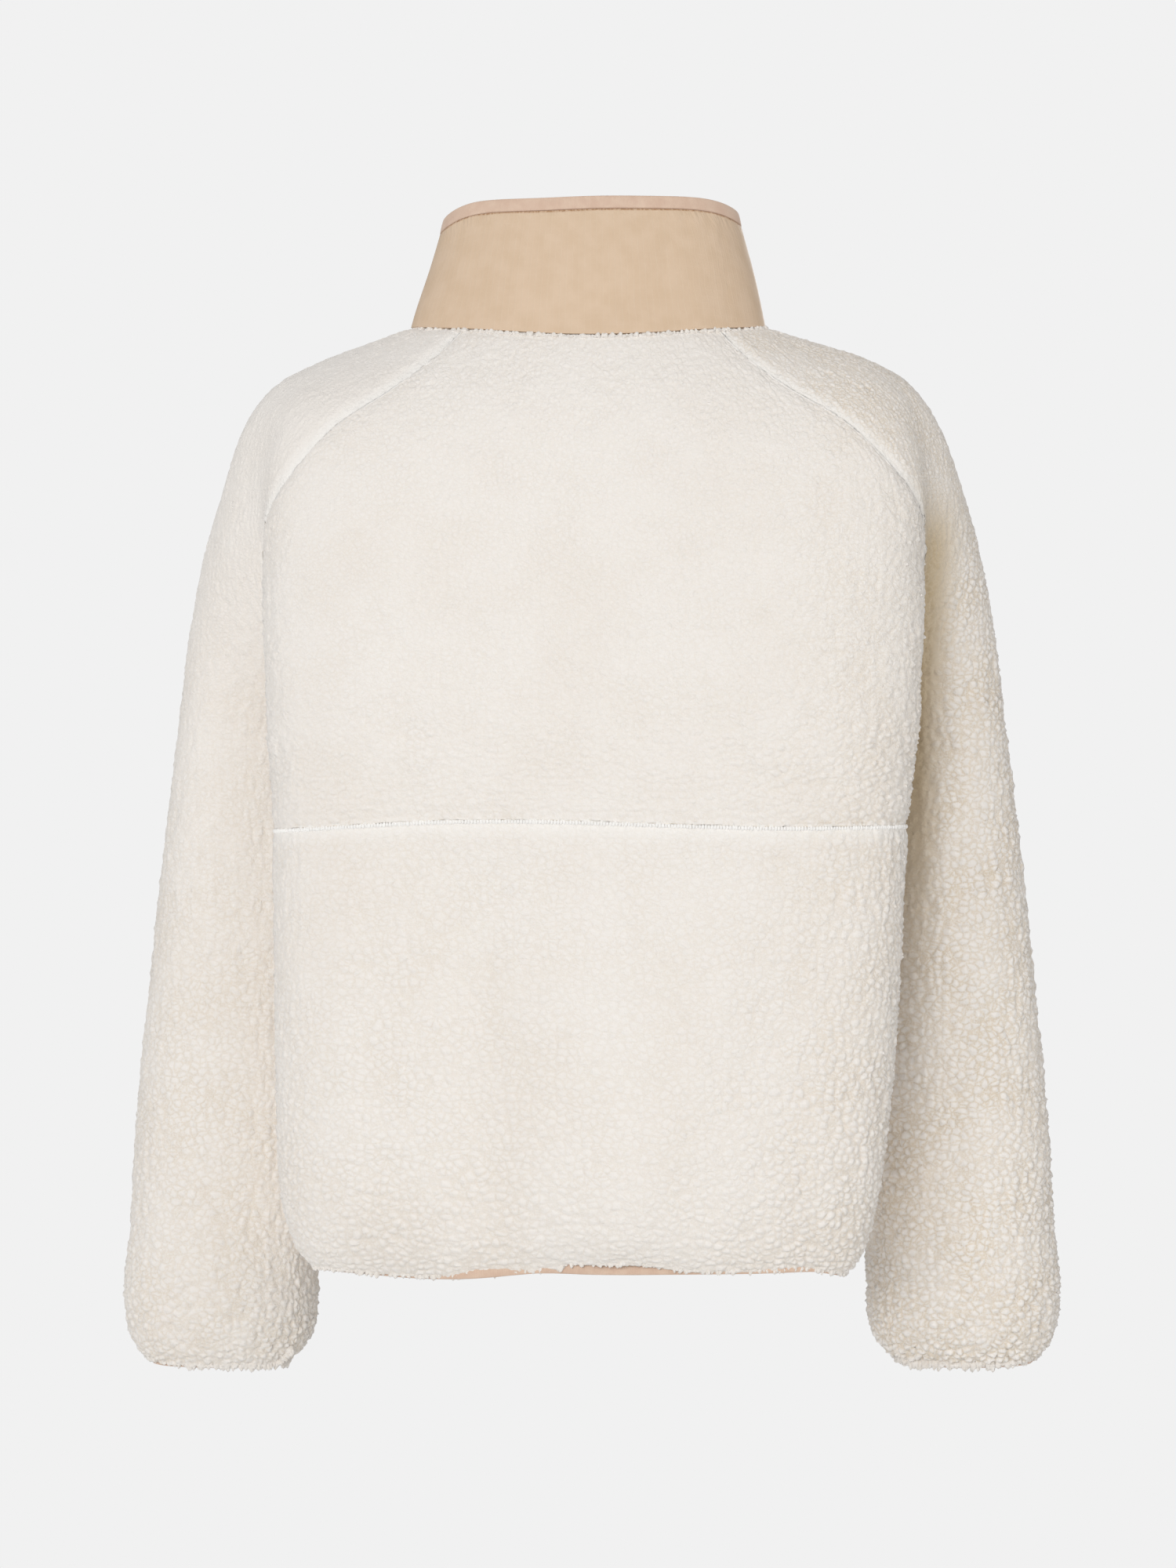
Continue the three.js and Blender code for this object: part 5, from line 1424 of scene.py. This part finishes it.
def make_tufts():
    random.seed(11)
    source = one_tuft()
    places = []
    for node, beside, near, pitch, way, length, width, lean in EDGES:
        for place, along, out in along_path(rim_path(node, tree_of(beside), near), pitch):
            jitter = Vector([random.uniform(-0.35, 0.35) for _ in range(3)])
            droop = (way + out * lean * random.uniform(0.2, 1.4) + jitter).normalized()
            long, wide = length * random.uniform(0.65, 1.3), width * random.uniform(0.65, 1.3)
            if node.startswith("sleeve") and way == DOWN:
                middle = CUFF_MIDDLES[0 if place.x > 0 else 1]
                aside = smooth(30 * MM, 50 * MM, abs(place.x - middle))
                long, wide = long * (1 - 0.6 * aside), wide * (1 - 0.35 * aside)
            lift, sink = (0.4 * MM, 2.3 * MM) if way != DOWN else (0, 1.5 * MM)
            spot = place + out * (random.uniform(-1.4, 0.4) * MM + lift) - droop * sink
            turn = facing(along, droop, spot + along * random.uniform(-1, 1) * MM)
            spin = Matrix.Rotation(random.uniform(0, 2 * math.pi), 4, "Z")
            places.append(turn @ spin @ Matrix.Diagonal((wide, wide, long, 1)))
        print(node, beside, "tufts so far", len(places))
    for place, out in side_fringe():
        turn = facing(DOWN, out, place - out * 2.0 * MM)
        places.append(turn @ Matrix.Diagonal((*(random.uniform(0.45, 0.75) for _ in range(3)), 1)))
    piece = copies(source, "edge_tufts", places)
    bpy.data.objects.remove(source)
    piece.data.materials.append(pile)
    spots = [vertex.co.copy() for vertex in piece.data.vertices]
    store_places(piece, "rest", spots)
    store(piece, "coarse", [coarseness(spot) for spot in spots])
    store(piece, "relief", [TUFT_RELIEF] * len(spots))
    store(piece, "crack_shade", [TUFT_CRACK_SHADE] * len(spots))
    use(piece)
    bpy.ops.object.shade_smooth()
    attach(piece, "jacket")
    print("tufts", len(places), "triangles", triangles(piece))
    return piece


tufts = make_tufts()

# %% [markdown]
# ## What each panel was cut to
# A sheet's flat size is the cut piece on the table, before it was sewn and hung.

# %% Flat sizes
CUTS = {
    # node: width, length, flat area in square metres
    "back_upper": (0.66, 0.33, 0.152),
    "back_lower": (0.64, 0.29, 0.162),
    "front_left": (0.21, 0.575, 0.0914),
    "front_right": (0.20, 0.575, 0.0902),
    "sleeve_left": (0.45, 0.72, 0.2268),
    "sleeve_right": (0.45, 0.72, 0.2265),
}
ON_PANEL = {"back_lower": [stitches], "back_upper": [tufts]}
for node, (width, length, area) in CUTS.items():
    extra = ON_PANEL.get(node, ())
    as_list(extra)
print("sheets", len(CUTS))

# %% [markdown]
# ## Studio
# The jacket floats in front of a plain pale backdrop, as on a hidden stand. The world gives
# the backdrop and an even light, so that shadows stay soft and open. A large softbox stands
# beside the camera with a smaller key light to its left, others fill the two sides and the
# top, and one lights the front. A pale floor lies at foot level and fades into the backdrop.

# %% World
BACKDROP = "#f1f1f1"
SKY_COLOUR = "#fffdfa"
SKY_LIGHT = 0.34


def make_world():
    world = bpy.data.worlds.new("studio")
    bpy.context.scene.world = world
    world.use_nodes = True
    tree = world.node_tree
    tree.nodes.clear()
    seen = add_node(tree, "ShaderNodeLightPath").outputs["Is Camera Ray"]
    sky, wall = (
        add_node(tree, "ShaderNodeBackground", {"Color": linear(colour), "Strength": strength})
        for colour, strength in ((SKY_COLOUR, SKY_LIGHT), (BACKDROP, 1.0))
    )
    both = add_node(tree, "ShaderNodeMixShader", {0: seen, 1: sky.outputs[0], 2: wall.outputs[0]})
    add_node(tree, "ShaderNodeOutputWorld", {"Surface": both.outputs[0]})


make_world()
bpy.context.scene.view_settings.view_transform = "Standard"
print("world light", SKY_LIGHT)

# %% Lights
LIGHTS = [
    # name, degrees from the camera's side towards the left, degrees up, size, watts, colour
    ("softbox", 10, 8, 1.6, 54, "#fffefc"),
    ("key", 32, 8, 1.0, 19, "#ffffff"),
    ("left", 90, 8, 1.5, 23, "#ffffff"),
    ("right", -65, 8, 1.5, 33, "#fffdfa"),
    ("top", 0, 62, 2.0, 14, "#ffffff"),
    ("front", 190, 12, 2.0, 62, "#ffffff"),
]
LIGHT_DISTANCE = 4.0
LIGHT_AIM = Vector((0, 0, -300 * MM))


def soft_light(name, turn, rise, size, watts, colour):
    turn, rise = math.radians(turn), math.radians(rise)
    level = math.cos(rise)
    away = Vector((math.sin(turn) * level, math.cos(turn) * level, math.sin(rise)))
    place = LIGHT_AIM + away * LIGHT_DISTANCE
    deselect_all()
    turned = (-away).to_track_quat("-Z", "Y").to_euler()
    bpy.ops.object.light_add(type="AREA", location=place, rotation=turned)
    lamp = bpy.context.object
    lamp.name = f"{name}_light"
    lamp.data.shape = "DISK"
    lamp.data.size = size
    lamp.data.energy = watts
    lamp.data.color = linear(colour)[:3]


for row in LIGHTS:
    soft_light(*row)
print("lights", len(LIGHTS))

# %% Floor
FLOOR_LEVEL = -1400 * MM
FLOOR_RADIUS = 2.6


def pale_floor():
    deselect_all()
    bpy.ops.mesh.primitive_circle_add(
        vertices=96, radius=FLOOR_RADIUS, fill_type="TRIFAN", location=(0, 0, FLOOR_LEVEL)
    )
    floor = bpy.context.object
    floor.name = "floor"
    bpy.ops.object.transform_apply(location=True)
    material, tree = new_material("matte studio paint")
    place = add_node(tree, "ShaderNodeTexCoord").outputs["Object"]
    flat = vector_maths(tree, "MULTIPLY", place, (1.0, 1.0, 0.0))
    away = add_node(tree, "ShaderNodeVectorMath", {0: flat}, operation="LENGTH").outputs["Value"]
    grain = noise(tree, place, 20 * MM, 4.0)
    colour = colour_mix(tree, grain, "#f0f0ef", "#f4f4f3")
    paint = add_node(tree, "ShaderNodeBsdfPrincipled", {"Base Color": colour, "Roughness": 0.9})
    clear = add_node(tree, "ShaderNodeBsdfTransparent")
    edge = soft_step(tree, away, FLOOR_RADIUS * 0.35, FLOOR_RADIUS * 0.97)
    mix = {0: edge, 1: paint.outputs[0], 2: clear.outputs[0]}
    both = add_node(tree, "ShaderNodeMixShader", mix)
    add_node(tree, "ShaderNodeOutputMaterial", {"Surface": both.outputs[0]})
    floor.data.materials.append(material)
    floor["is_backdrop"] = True


pale_floor()
print("floor at", FLOOR_LEVEL)

# %% [markdown]
# ## Finish
# The two boxes, of the CAD model and of the dressed one, are kept so that they can be
# compared: cloth may stand a little proud of the solids, and no more.

# %% Keep the two boxes
boxes = {"cad": cad_box, "visual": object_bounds()}
{key: [list(map(float, corner)) for corner in box] for key, box in boxes.items()}
